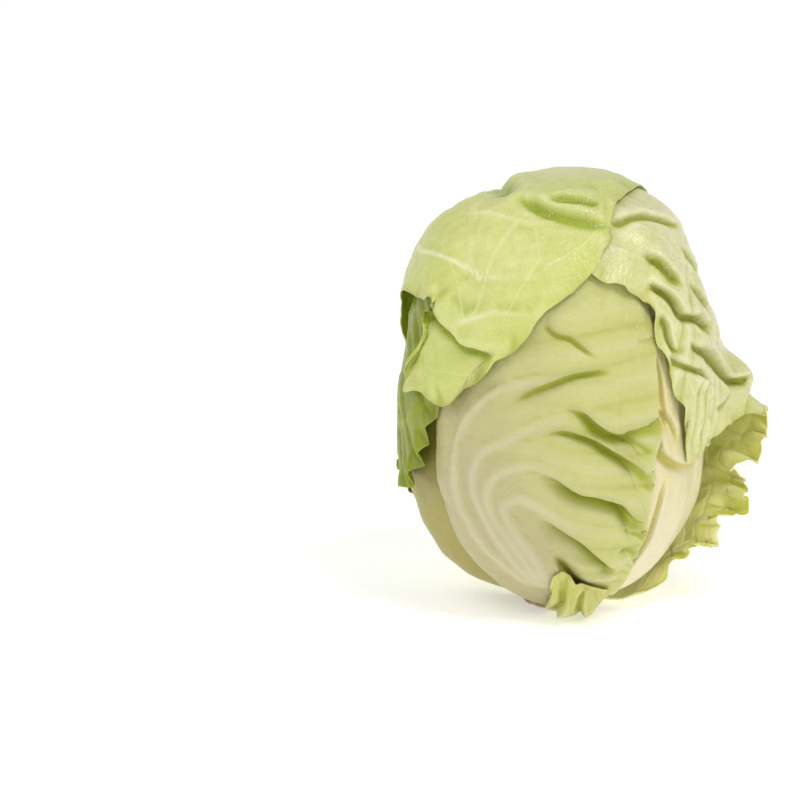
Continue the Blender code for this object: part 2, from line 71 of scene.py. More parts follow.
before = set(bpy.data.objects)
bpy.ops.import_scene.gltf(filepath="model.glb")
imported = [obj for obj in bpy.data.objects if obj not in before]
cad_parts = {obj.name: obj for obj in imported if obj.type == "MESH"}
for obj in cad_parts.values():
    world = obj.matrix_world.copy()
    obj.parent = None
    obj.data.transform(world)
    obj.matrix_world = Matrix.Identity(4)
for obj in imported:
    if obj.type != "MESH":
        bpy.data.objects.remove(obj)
CAD_LOW, CAD_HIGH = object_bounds()


class Slot(str, Enum):
    """The record's material slots."""

    GREEN = "green_leaf"
    PALE = "pale_leaf"
    HEART = "heart_leaf"
    STUMP = "stump_cut"


def smooth(x: Array) -> Array:
    """The smoothstep 3x^2 - 2x^3, on x held between 0 and 1."""
    t = np.clip(x, 0.0, 1.0)
    return t * t * (3.0 - 2.0 * t)


def unit(v: Array) -> Array:
    """Vectors of length one along the last axis."""
    return v / (np.linalg.norm(v, axis=-1, keepdims=True) + 1e-12)


def toward(lon: Array, lat: Array) -> Array:
    """Unit vectors for longitudes and latitudes in degrees.

    Args:
        lon: Longitudes, 0 in front (-Y) and 90 at the right (+X).
        lat: Latitudes, 90 at the top.

    Returns:
        Vectors along a new last axis.
    """
    a, b = np.radians(lon), np.radians(lat)
    return np.stack([np.cos(b) * np.sin(a), -np.cos(b) * np.cos(a), np.sin(b)], -1)


def spline(points: Array, share: Array) -> Array:
    """A Catmull-Rom curve through points along the first axis.

    Args:
        points: The points to pass through.
        share: Where to sample it, from 0 at its start to 1 at its end in the curve's own measure.

    Returns:
        The sampled points.
    """
    p = np.asarray(points, float)
    p = np.concatenate([2 * p[:1] - p[1:2], p, 2 * p[-1:] - p[-2:-1]])
    t = share * (len(p) - 3)
    i = np.minimum(t.astype(int), len(p) - 4)
    f = (t - i).reshape((-1,) + (1,) * (p.ndim - 1))
    a, b, c, d = p[i], p[i + 1], p[i + 2], p[i + 3]
    return b + 0.5 * f * (c - a + f * (2 * a - 5 * b + 4 * c - d + f * (3 * (b - c) + d - a)))


def wander(s: Array, wavelength: float, seed: int) -> Array:
    """Smooth seeded values between -1 and 1 along s.

    Args:
        s: The way along, in any unit.
        wavelength: The distance between two knots of the wandering line, in the same unit.
        seed: The seed that the knots are drawn with.

    Returns:
        The values, eased from knot to knot with the smoothstep.
    """
    knots = np.random.default_rng(seed).uniform(-1, 1, KNOTS)
    t = np.asarray(s, float) / wavelength + KNOT_START
    i = np.floor(t).astype(int) % KNOTS
    f = smooth(t - np.floor(t))
    return knots[i] * (1 - f) + knots[(i + 1) % KNOTS] * f


class HeadForm:
    """The rounded form under the leaves: a swollen ellipsoid, squarer at its top than below."""

    HEART_DEPTH = 4.0
    HALF_HEIGHT = 93.0
    # The form's power at its foot and at its top, where it changes and over how much of the height
    LOW_POWER = 2.1
    HIGH_POWER = 2.6
    POWER_START = -0.9
    POWER_SPAN = 1.2

    def __init__(self) -> None:
        """Takes the form's size from the CAD heart, which stands a set depth below it."""
        low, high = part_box("heart")
        radius = -low.x / MM + self.HEART_DEPTH
        self.axes = np.array([radius, radius, self.HALF_HEIGHT])
        self.centre = np.array([0.0, 0.0, high.z / MM + self.HEART_DEPTH - self.HALF_HEIGHT])

    def surface(self, q: Array) -> tuple[Array, Array]:
        """Points on a form of size one: level^n + rise^n = 1, with a power n that grows upwards.

        Args:
            q: Unit directions.

        Returns:
            The points, and the power used at each.
        """
        share = smooth((q[..., 2] - self.POWER_START) / self.POWER_SPAN)
        n = self.LOW_POWER + (self.HIGH_POWER - self.LOW_POWER) * share
        level = np.hypot(q[..., 0], q[..., 1])
        size = (level**n + np.abs(q[..., 2]) ** n) ** (-1 / n)
        return q * size[..., None], n

    def place(self, q: Array, height: Array) -> tuple[Array, Array]:
        """Points at a height above the form, and the form's normals there.

        Args:
            q: Unit directions.
            height: Heights in mm.

        Returns:
            Points in metres, and unit normals.
        """
        p, n = self.surface(q)
        r = np.hypot(p[..., 0], p[..., 1]) + 1e-9
        side = r ** (n - 2)
        up = np.abs(p[..., 2]) ** (n - 1) * np.sign(p[..., 2])
        normal = unit(np.stack([side * p[..., 0], side * p[..., 1], up], -1) / self.axes)
        return (self.centre + p * self.axes + normal * height[..., None]) * MM, normal

    def measure(self, points: Array) -> tuple[Array, Array, Array]:
        """Finds where points lie on the form.

        Args:
            points: Points in metres.

        Returns:
            The form's direction under each, the ray out through it, and its height in mm.
        """
        d = points / MM - self.centre
        q = unit(d / self.axes)
        p, _ = self.surface(q)
        return q, unit(d), np.linalg.norm(d, axis=-1) - np.linalg.norm(p * self.axes, axis=-1)

    def line(self, path: tuple, count: int) -> Array:
        """A curve on the form through the points of a path.

        Args:
            path: Pairs of longitude and latitude.
            count: How many points to give.

        Returns:
            Points along the curve, in metres.
        """
        ends = np.array(path, float)
        q = unit(spline(toward(ends[:, 0], ends[:, 1]), np.linspace(0, 1, count)))
        return self.place(q, np.zeros(count))[0]


@dataclass
class Near:
    """How points lie beside a curve: mm across it, the share of its length, and the way across."""

    side: Array
    share: Array
    across: Array

    @classmethod
    def of(cls, base: Array, normal: Array, line: Array) -> "Near":
        """Finds the nearest place on a line of points for every point of a grid.

        Args:
            base: The grid of points on the form, in metres.
            normal: The form's normals there.
            line: The curve, in metres.

        Returns:
            The distances in mm (above zero on the curve's left), shares and ways across.
        """
        start, run = line[:-1], np.diff(line, axis=0)
        length = np.linalg.norm(run, axis=1)
        rel = base[..., None, :] - start
        t = np.clip((rel * run).sum(-1) / length**2, 0, 1)
        off = rel - t[..., None] * run
        far = np.linalg.norm(off, axis=-1)
        near = far.argmin(-1)[..., None]
        off = np.take_along_axis(off, near[..., None], -2)[..., 0, :]
        across = unit(np.cross(normal, (run / length[:, None])[near[..., 0]]))
        passed = np.concatenate([[0], np.cumsum(length)[:-1]])
        share = np.take_along_axis((passed + t * length) / length.sum(), near, -1)[..., 0]
        side = np.sign((across * off).sum(-1)) * np.take_along_axis(far, near, -1)[..., 0] / MM
        return cls(side, share, across)

    def fade(self, ends: tuple[float, float]) -> Array:
        """A strength that grows and dies over the given shares of the curve's length."""
        return smooth(self.share / ends[0]) * smooth((1 - self.share) / ends[1])


@dataclass
class Shape:
    """A leaf while it is being shaped: its smooth sheet, the relief on it and the painted marks."""

    form: HeadForm
    q: Array
    height: Array
    u: Array
    v: Array
    base: Array = field(init=False)
    normal: Array = field(init=False)
    face: Array = field(init=False)
    relief: Array = field(init=False)
    shift: Array = field(init=False)
    vein: Array = field(init=False)
    crease: Array = field(init=False)

    def __post_init__(self) -> None:
        """Places the grid on the form, finds the sheet's own normals, and starts with no relief."""
        self.base, self.normal = self.form.place(self.q, np.zeros_like(self.height))
        points, _ = self.form.place(self.q, self.height)
        self.face = unit(np.cross(np.gradient(points, axis=0), np.gradient(points, axis=1)))
        self.face *= np.sign((self.face * self.normal).sum())
        self.relief = np.zeros_like(self.height)
        self.shift = np.zeros_like(self.base)
        self.vein = np.zeros_like(self.height)
        self.crease = np.zeros_like(self.height)

    def near(self, path: tuple, count: int = 44) -> Near:
        """How the grid lies beside a path of (longitude, latitude) pairs."""
        return Near.of(self.base, self.normal, self.form.line(path, count))


@dataclass(frozen=True)
class Fold:
    """A crease whose lip, on the left of its path, laps over the pit on its right. Sizes in mm."""

    path: tuple
    width: float
    lip: float
    pit: float
    lap: float
    fade: tuple[float, float]
    step: float = 1.2

    # Shares of the width: those of the pit, the lap and the crease's painted shade, and how far out
    # the painted shade lies
    PIT_WIDTH = 0.45
    LAP_WIDTH = 0.8
    CREASE_WIDTH = 0.26
    CREASE_OUT = 0.1
    # How far beyond the path the pit and the painted shade of the crease lie, as shares of the lap
    # that hides them
    PIT_BEYOND = 0.6
    CREASE_BEYOND = 0.8
    # The least shares of the path over which the lap grows and dies
    LAP_FADE = (0.15, 0.2)
    # How dark the crease's painted shade is for each mm of lip and pit
    DEPTH_SHADE = 0.25

    def bend(self, shape: Shape) -> None:
        """Raises the lip, sinks the pit, slides the lip over it and paints shade into the crease.

        Args:
            shape: The leaf being shaped.
        """
        near = shape.near(self.path)
        grow = near.fade(self.fade)
        s = near.side
        over = smooth(0.5 + 0.5 * s / self.step)
        lip = over * self.lip * np.exp(-((s / self.width) ** 2))
        beyond = s + self.PIT_BEYOND * self.lap
        pit = (1 - over) * self.pit * np.exp(-((beyond / (self.PIT_WIDTH * self.width)) ** 2))
        shape.relief += grow * (lip - pit)
        slide = near.fade(tuple(np.maximum(self.fade, self.LAP_FADE)))
        lap = slide * over * self.lap * np.exp(-((s / (self.LAP_WIDTH * self.width)) ** 2))
        shape.shift -= near.across * (lap * MM)[..., None]
        # Painted shade: a darker crease line just clear of the lip, where the lip's shadow falls
        deep = min(1.0, self.DEPTH_SHADE * (self.pit + self.lip))
        beyond = s + self.CREASE_BEYOND * self.lap + self.CREASE_OUT * self.width
        tint = np.exp(-((beyond / (self.CREASE_WIDTH * self.width)) ** 2))
        shape.crease += deep * grow * tint


@dataclass(frozen=True)
class Rib:
    """A vein that stands up along a path and thins towards its end. Sizes in mm."""

    path: tuple
    width: float = 2.0
    rise: float = 0.6
    fade: tuple[float, float] = (0.05, 0.5)
    paint: float = 1.0

    # How much of its width the vein loses by its end
    THINNING = 0.5

    def bend(self, shape: Shape) -> None:
        """Raises and marks the vein.

        Args:
            shape: The leaf being shaped.
        """
        near = shape.near(self.path)
        narrow = self.width * (1.0 - self.THINNING * near.share)
        share = near.fade(self.fade) * np.exp(-((near.side / narrow) ** 2))
        shape.relief += self.rise * share
        shape.vein = np.maximum(shape.vein, self.paint * share)


@dataclass(frozen=True)
class Swell:
    """A round hill, or a hollow where rise is below zero, at a longitude and latitude."""

    lon: float
    lat: float
    radius: float
    rise: float

    def bend(self, shape: Shape) -> None:
        """Adds the hill to the relief.

        Args:
            shape: The leaf being shaped.
        """
        spot, _ = shape.form.place(toward(np.array(self.lon), np.array(self.lat)), np.array(0.0))
        far = np.linalg.norm(shape.base - spot, axis=-1) / MM
        shape.relief += self.rise * np.exp(-((far / self.radius) ** 2))


@dataclass(frozen=True)
class Veins:
    """A midrib up the leaf with side veins that leave it at a slant and thin towards the margin."""

    middle: float = 0.5
    count: int = 6
    slant: float = 0.45
    width: float = 1.3
    rise: float = 0.6
    start: float = 0.12
    paint: float = 1.0
    seed: int = 1

    # Where along the leaf the last side vein starts, and how far the right ones are set off
    LAST = 0.95
    OFFSET = 0.3
    # How far the midrib strays from the middle, and the side veins from their slant
    STEM_STRAY = 0.015
    SIDE_STRAY = 0.1
    # The midrib's width and rise, and the side veins' rise, against those of a vein
    STEM_WIDTH = 2.4
    STEM_RISE = 1.6
    SIDE_RISE = 0.7
    # How much of a slanting vein's distance along the leaf is distance across the vein
    SLANT_SHARE = 0.8
    # How much of its width a side vein loses by the leaf's side
    THINNING = 0.9

    def bend(self, shape: Shape) -> None:
        """Raises and marks the veins.

        Every side vein is a line v = v0 + slant * |u - middle|, bent by a slow wave. The way to it
        is measured along the leaf and turned into mm by the leaf's length.

        Args:
            shape: The leaf being shaped.
        """
        u, v = shape.u, shape.v
        steps = np.linalg.norm(np.diff(shape.base, axis=1), axis=2).sum(1).mean() / MM
        broad = np.linalg.norm(np.diff(shape.base, axis=0), axis=2).sum(0).mean() / MM
        away = np.abs(u - self.middle - self.STEM_STRAY * wander(v, 0.3, self.seed))
        side = u > self.middle
        stray = self.SIDE_STRAY * away * wander(away + 9 * side, 0.17, self.seed + 1)
        line = v - self.slant * (away + stray)
        gap = (self.LAST - self.start) / self.count
        near = np.full_like(u, np.inf)
        for k in range(self.count):
            low = self.start + (k + self.OFFSET * side) * gap
            near = np.minimum(near, np.abs(line - low) * steps * self.SLANT_SHARE)
        thin = self.width * (1.05 - self.THINNING * away / max(self.middle, 1 - self.middle))
        ends = smooth((1 - v) / 0.1) * smooth((v - self.start) / 0.05)
        lateral = self.SIDE_RISE * np.exp(-((near / thin) ** 2)) * ends
        stem = self.STEM_WIDTH * self.width * (1.05 - v)
        rib = np.exp(-((away * broad / stem) ** 2)) * smooth((1 - v) / 0.25)
        shape.relief += self.rise * (lateral + self.STEM_RISE * rib * (1 - v))
        shape.vein = np.maximum(shape.vein, self.paint * np.maximum(lateral, rib))


@dataclass(frozen=True)
class Pleats:
    """Rounded ridges with sharp valleys that run from the foot to the margin."""

    count: float
    rise: float
    start: float
    full: float
    span: tuple[float, float] = (0.0, 1.0)
    seed: int = 1

    # The mean of the size of a sine
    MEAN = 0.64
    # How far the pleats stray along the leaf, as a share of its width, and across it, in pleats
    STRAY_ALONG = 0.05
    STRAY_ACROSS = 0.5
    # The share of the leaf's width over which the pleats fade at the ends of their span
    SIDE_FADE = 0.06
    # How strongly painted shade shows in the valleys and painted highlight on the crests
    VALLEY_SHADE = 0.6
    RIDGE_HIGHLIGHT = 0.35

    def bend(self, shape: Shape) -> None:
        """Raises the ridges, paints shade into the valleys and highlight onto the crests.

        The height is the size of a sine across the guides, less its mean, so tops are round and
        valleys sharp. It grows along the leaf from start to full, and is held to a span across it.

        Args:
            shape: The leaf being shaped.
        """
        u, v = shape.u, shape.v
        turn = self.count * (u + self.STRAY_ALONG * wander(v + 0.3 * u, 0.22, self.seed))
        turn = turn + self.STRAY_ACROSS * wander(u, 0.11, self.seed + 1)
        ridge = np.abs(np.sin(np.pi * turn))
        gate = smooth((v - self.start) / (self.full - self.start))
        low, high = self.span
        gate = gate * smooth((u - low) / self.SIDE_FADE) * smooth((high - u) / self.SIDE_FADE)
        strength = gate * (0.75 + 0.35 * wander(u * 7 + v, 1.0, self.seed + 2))
        shape.relief += self.rise * strength * (ridge - self.MEAN)
        # Painted shade in the valleys, and painted highlight on the crests through the vein mark
        shape.crease += self.VALLEY_SHADE * strength * (1 - ridge) ** 3
        crest = self.RIDGE_HIGHLIGHT * strength * smooth((ridge - 0.8) / 0.2)
        shape.vein = np.maximum(shape.vein, crest)


@dataclass(frozen=True)
class Ruffle:
    """A frill along the free margin. Lengths in mm, span as shares of the margin's length."""

    wave: float
    swing: float
    reach: float
    lobe: float
    sway: float = 0.0
    curl: float = 0.0
    span: tuple[float, float] = (0.0, 1.0)
    phase: float = 0.0
    seed: int = 1

    # How far the wave strays, in waves, and over how much of the margin it fades at its ends
    STRAY = 0.35
    END_FADE = 0.07

    def bend(self, s: Array, back: Array, along: Array, out: Array, face: Array) -> Array:
        """The shift of each point.

        The sheet swings along its own normal as a sine of the way along the margin, whose wave
        wanders, and slides outwards in rounded lobes; both die at the reach in from the margin.

        Args:
            s: The way along the margin, in mm.
            back: The way in from the margin, in mm.
            along: Unit vectors along the margin.
            out: Unit vectors out over the margin.
            face: The sheet's unit normals.

        Returns:
            Shifts in metres.
        """
        share = s / s[-1, 0]
        low, high = self.span
        gate = smooth((share - low) / self.END_FADE) * smooth((high - share) / self.END_FADE)
        fall = smooth(1 - back / self.reach)
        stray = self.STRAY * wander(s, self.wave * 1.7, self.seed)
        turn = 2 * np.pi * (s / self.wave + stray) + self.phase
        strength = 0.8 + 0.35 * wander(s, self.wave * 2.3, self.seed + 1)
        swing = self.swing * strength * fall * np.sin(turn) + self.curl * fall**2
        sway = self.sway * strength * fall * np.sin(2 * turn + 0.6)
        lobe = self.lobe * fall * (1.0 - 2.0 * np.sin(0.5 * turn + 0.5) ** 4)
        move = face * swing[..., None] + along * sway[..., None] + out * lobe[..., None]
        return move * (gate * MM)[..., None]


@dataclass
class Sheet:
    """A finished leaf face: a grid of points in metres and the marks its finish reads."""

    points: Array
    marks: dict[str, Array]
    flow: Array
    outward: float

    # How many steps away a hollow is measured, and the depth of its darkest painted shade, in mm
    REACH = 3
    DEEP = 1.1
    # How much painted shade a full hollow adds to the crease mark, and painted highlight a full
    # ridge adds to the pale mark
    HOLLOW_SHADE = 0.6
    RIDGE_HIGHLIGHT = 0.4

    def normals(self) -> Array:
        """The sheet's own unit normals, on its outer side."""
        across, along = np.gradient(self.points, axis=0), np.gradient(self.points, axis=1)
        return unit(np.cross(across, along)) * self.outward

    def tint(self, side: float) -> None:
        """Paints shade into the hollows and highlight onto the ridges, by the crease and pale marks.

        A hollow is how far a point lies below the middle of the two points REACH steps to either
        side of it, added up for both ways across the sheet.

        Args:
            side: 1 for the hollows of the outer face, -1 for those of the inner face.
        """
        normals = self.normals()
        hollow = np.zeros(self.points.shape[:2])
        for axis in (0, 1):
            count = self.points.shape[axis]
            steps = np.arange(count)
            ahead = np.take(self.points, np.minimum(steps + self.REACH, count - 1), axis)
            behind = np.take(self.points, np.maximum(steps - self.REACH, 0), axis)
            hollow += (((ahead + behind) / 2 - self.points) * normals).sum(-1) * side / MM
        crease, pale = self.marks["crease"], self.marks["pale"]
        dark = self.HOLLOW_SHADE * smooth(hollow / self.DEEP)
        self.marks["crease"] = np.clip(crease + dark, 0, 1)
        self.marks["pale"] = pale + self.RIDGE_HIGHLIGHT * smooth(-hollow / self.DEEP)


class Pile:
    """The height in mm that the pieces laid so far reach, on a grid of directions."""

    CELLS = (360, 180)
    # Where on a cell of a sheet its height is read, as shares of its sides
    SAMPLES = (0.0, 0.33, 0.67)
    # Heights in mm of a cell that nothing has reached, of the highest that counts as one, and of
    # the ground that is put there
    EMPTY = -40.0
    NOTHING = -30.0
    GROUND = -8.0
    # How often the ground is softened, and how softly a sheet leaves it, in mm
    PASSES = 3
    SOFT = 0.4
    SETTLE = 0.12

    def __init__(self, form: HeadForm) -> None:
        """Starts with nothing laid on the form."""
        self.form = form
        self.top = np.full(self.CELLS, self.EMPTY)

    def spot(self, q: Array) -> tuple[Array, Array]:
        """The place of each direction on the grid of cells, in cells and parts of one."""
        across, down = self.CELLS
        lon = np.degrees(np.arctan2(q[..., 0], -q[..., 1])) % 360
        lat = np.degrees(np.arcsin(np.clip(q[..., 2], -1, 1)))
        return lon / 360 * across, (lat + 90) / 180 * down

    def lay(self, points: Array) -> None:
        """Adds a sheet, given as a grid of points, to the pile.

        Args:
            points: The sheet's outer face, in metres.
        """
        across, down = self.CELLS
        for s in self.SAMPLES:
            for t in self.SAMPLES:
                near = points[:-1, :-1] * (1 - s) + points[1:, :-1] * s
                far = points[:-1, 1:] * (1 - s) + points[1:, 1:] * s
                q, _, height = self.form.measure(near * (1 - t) + far * t)
                i, j = self.spot(q)
                cell = i.astype(int) % across, np.clip(j.astype(int), 0, down - 1)
                np.maximum.at(self.top, cell, height)

    def ground(self) -> Array:
        """Raises each cell to its highest neighbour and then softens the whole.

        Returns:
            The raised and softened heights in mm, on the pile's own grid.
        """
        top = np.maximum(self.top, np.maximum(np.roll(self.top, 1, 0), np.roll(self.top, -1, 0)))
        wide = top.copy()
        wide[:, 1:] = np.maximum(wide[:, 1:], top[:, :-1])
        wide[:, :-1] = np.maximum(wide[:, :-1], top[:, 1:])
        wide = np.where(wide < self.NOTHING, self.GROUND, wide)
        for _ in range(self.PASSES):
            wide = (np.roll(wide, 1, 0) + wide + np.roll(wide, -1, 0)) / 3
            inner = (wide[:, :-2] + wide[:, 1:-1] + wide[:, 2:]) / 3
            wide = np.concatenate([wide[:, :1], inner, wide[:, -1:]], 1)
        return wide

    def lift(self, points: Array, clearance: float) -> Array:
        """Moves points out along their rays, softly, until they clear what lies under them.

        Args:
            points: The sheet's points, in metres.
            clearance: The least distance to what lies below, in mm.

        Returns:
            The points after the move.
        """
        ground = self.ground()
        across, down = self.CELLS
        for _ in range(2):
            q, ray, height = self.form.measure(points)
            i, j = self.spot(q)
            i, j = i - 0.5, np.clip(j - 0.5, 0, down - 1.001)
            i0, j0 = np.floor(i).astype(int), j.astype(int)
            fi, fj = i - i0, j - j0
            a, b = i0 % across, (i0 + 1) % across
            below = (ground[a, j0] * (1 - fi) + ground[b, j0] * fi) * (1 - fj)
            below = below + (ground[a, j0 + 1] * (1 - fi) + ground[b, j0 + 1] * fi) * fj
            need = below + clearance - height
            need = 0.5 * (need + np.sqrt(need**2 + self.SOFT**2)) - self.SETTLE * self.SOFT
            points = points + ray * (np.maximum(need, 0) * MM)[..., None]
        return points


def srgb(code: str) -> tuple[float, float, float, float]:
    """A linear colour from its sRGB hex code, by the standard's transfer curve."""
    part = [int(code[k : k + 2], 16) / 255 for k in (0, 2, 4)]
    line = [c / 12.92 if c <= 0.04045 else ((c + 0.055) / 1.055) ** 2.4 for c in part]
    return (*line, 1.0)


class Nodes:
    """A material's node tree with one small function that adds a node and joins its inputs."""

    def __init__(self, name: str) -> None:
        """Starts a material that has only its Principled shader and output."""
        self.material = bpy.data.materials.new(name)
        self.material.use_nodes = True
        self.tree = self.material.node_tree
        self.shader = self.tree.nodes["Principled BSDF"]

    def add(self, kind: str, settings: dict | None = None, **inputs: object) -> bpy.types.Node:
        """Adds a node.

        Args:
            kind: The node's type name.
            settings: Values for the node's own properties.
            inputs: For each socket, by name or as sN for socket number N, a value or a socket.

        Returns:
            The new node.
        """
        node = self.tree.nodes.new(kind)
        for key, value in (settings or {}).items():
            setattr(node, key, value)
        for key, value in inputs.items():
            number = key[1:].isdigit() and key[0] == "s"
            socket = node.inputs[int(key[1:])] if number else node.inputs[key.replace("_", " ")]
            self.set(socket, value)
        return node

    def set(self, socket: bpy.types.NodeSocket, value: object) -> None:
        """Joins a socket to another, or gives it a value."""
        if isinstance(value, bpy.types.NodeSocket):
            self.tree.links.new(value, socket)
        else:
            socket.default_value = value

    def mix(self, share: object, one: object, two: object) -> bpy.types.NodeSocket:
        """A colour that goes from one to two by a share, each a value or a socket."""
        settings = {"data_type": "RGBA", "clamp_factor": True}
        return self.add("ShaderNodeMix", settings, s0=share, s6=one, s7=two).outputs[2]

    def math(self, operation: str, one: object, two: object = 0.0) -> bpy.types.NodeSocket:
        """The result of a sum, product or other operation on two numbers."""
        settings = {"operation": operation, "use_clamp": False}
        return self.add("ShaderNodeMath", settings, s0=one, s1=two).outputs[0]

    def ramp(self, value: object, low: float, high: float) -> bpy.types.NodeSocket:
        """A smooth step from 0 at low to 1 at high."""
        settings = {"interpolation_type": "SMOOTHSTEP"}
        node = self.add("ShaderNodeMapRange", settings, s0=value, s1=low, s2=high)
        return node.outputs[0]

    def mark(self, name: str) -> bpy.types.NodeSocket:
        """A number painted on the mesh's points."""
        return self.add("ShaderNodeAttribute", {"attribute_name": name}).outputs["Fac"]

    def noise(self, vector: object, size: float, detail: float = 3.0) -> bpy.types.NodeSocket:
        """Noise between 0 and 1 whose blots are about size metres wide."""
        node = self.add("ShaderNodeTexNoise", None, Vector=vector, Scale=1 / size, Detail=detail)
        return node.outputs["Fac"]


@dataclass(frozen=True)
class LeafFinish:
    """Fresh leaf tissue: a waxed satin skin over wet flesh that lets a little light through.

    The colours are sRGB hex codes. Blade and pale are the two ends of its mottling, and pale also
    takes the painted highlight on ridges. Vein tints the veins, crease is painted shade in the
    creases and hollows, and margin is the worn edge.
    """

    blade: str
    pale: str
    vein: str
    crease: str
    margin: str
    mottle: float = 0.35
    roughness: float = 0.38
    subsurface: float = 0.25
    network: float = 0.3
    bump: float = 0.35

    # Sizes in metres on a real leaf: its uneven growth, the fine flecks in it, the mesh of its
    # smallest veins, its fibres' width and length, the skin's relief, and how far light passes
    BLOT = 0.028
    FLECK = 0.0045
    CELL = 0.0034
    STREAK = (0.0012, 0.022)
    RELIEF = 0.00045
    GLOW = (0.0035, 0.0045, 0.0012)
    # How strongly each mark shows in the colour
    STREAK_TINT = 0.16
    FLECK_TINT = 0.18
    VEIN_TINT = 0.75
    # The crease mark is painted shade
    CREASE_SHADE = 0.95
    # How far the roughness varies from fleck to fleck
    ROUGH_SPREAD = 0.16

    def build(self, name: str) -> bpy.types.Material:
        """Makes the leaf tissue: blade colour paling to the foot, veins, painted crease shade and
        margin.

        Args:
            name: The material's name.

        Returns:
            The material.
        """
        n = Nodes(name)
        place = n.add("ShaderNodeTexCoord").outputs["Object"]
        flow = n.add("ShaderNodeAttribute", {"attribute_name": "flow"}).outputs["Vector"]
        blot = n.noise(place, self.BLOT)
        fleck = n.noise(place, self.FLECK, 4.0)
        wide, long = self.STREAK
        stretched = n.add("ShaderNodeVectorMath", {"operation": "MULTIPLY"}, s0=flow)
        stretched.inputs[1].default_value = (1 / wide, 1 / long, 1.0)
        streak = n.noise(stretched.outputs[0], 1.0)
        drift = n.add("ShaderNodeTexNoise", None, Vector=place, Scale=0.5 / self.CELL, Detail=2.0)
        bent = n.add("ShaderNodeVectorMath", {"operation": "MULTIPLY_ADD"},
                     s0=drift.outputs["Color"])
        bent.inputs[1].default_value = (self.CELL, self.CELL, self.CELL)
        n.set(bent.inputs[2], place)
        cells = n.add("ShaderNodeTexVoronoi", {"feature": "DISTANCE_TO_EDGE"}, Scale=1 / self.CELL,
                      Vector=bent.outputs[0])
        net = n.ramp(cells.outputs["Distance"], 0.14, 0.0)
        spread = n.math("MULTIPLY", n.math("SUBTRACT", blot, 0.5), self.mottle)
        # The pale mark holds the leaf's foot and the painted highlight on ridges
        pale = n.math("ADD", n.mark("pale"), spread)
        color = n.mix(pale, srgb(self.blade), srgb(self.pale))
        fine = n.math("MULTIPLY", n.ramp(streak, 0.5, 0.75), self.STREAK_TINT)
        color = n.mix(fine, color, srgb(self.vein))
        color = n.mix(n.math("MULTIPLY", net, self.network), color, srgb(self.vein))
        dots = n.math("MULTIPLY", n.ramp(fleck, 0.5, 0.8), self.FLECK_TINT)
        color = n.mix(dots, color, srgb(self.crease))
        # Veins in their paler colour; creases and hollows in the crease colour as painted shade
        for mark, tint, code in (("vein", self.VEIN_TINT, self.vein),
                                 ("crease", self.CREASE_SHADE, self.crease)):
            color = n.mix(n.math("MULTIPLY", n.mark(mark), tint), color, srgb(code))
        worn = n.math("MULTIPLY", n.mark("edge"), n.ramp(blot, 0.35, 0.65))
        color = n.mix(worn, color, srgb(self.margin))
        n.set(n.shader.inputs["Base Color"], color)
        rough = n.math("MULTIPLY_ADD", fleck, self.ROUGH_SPREAD)
        rough.node.inputs[2].default_value = self.roughness - self.ROUGH_SPREAD / 2
        n.set(n.shader.inputs["Roughness"], rough)
        height = n.math("ADD", n.math("MULTIPLY", net, -0.5), n.math("MULTIPLY", streak, 0.5))
        height = n.math("ADD", height, n.math("MULTIPLY", fleck, 0.8))
        bump = n.add("ShaderNodeBump", None, Strength=self.bump, Distance=self.RELIEF,
                     Height=height)
        n.set(n.shader.inputs["Normal"], bump.outputs[0])
        n.shader.inputs["Subsurface Weight"].default_value = self.subsurface
        n.shader.inputs["Subsurface Radius"].default_value = self.GLOW
        n.shader.inputs["Subsurface Scale"].default_value = 1.0
        n.shader.inputs["Specular IOR Level"].default_value = 0.4
        return n.material


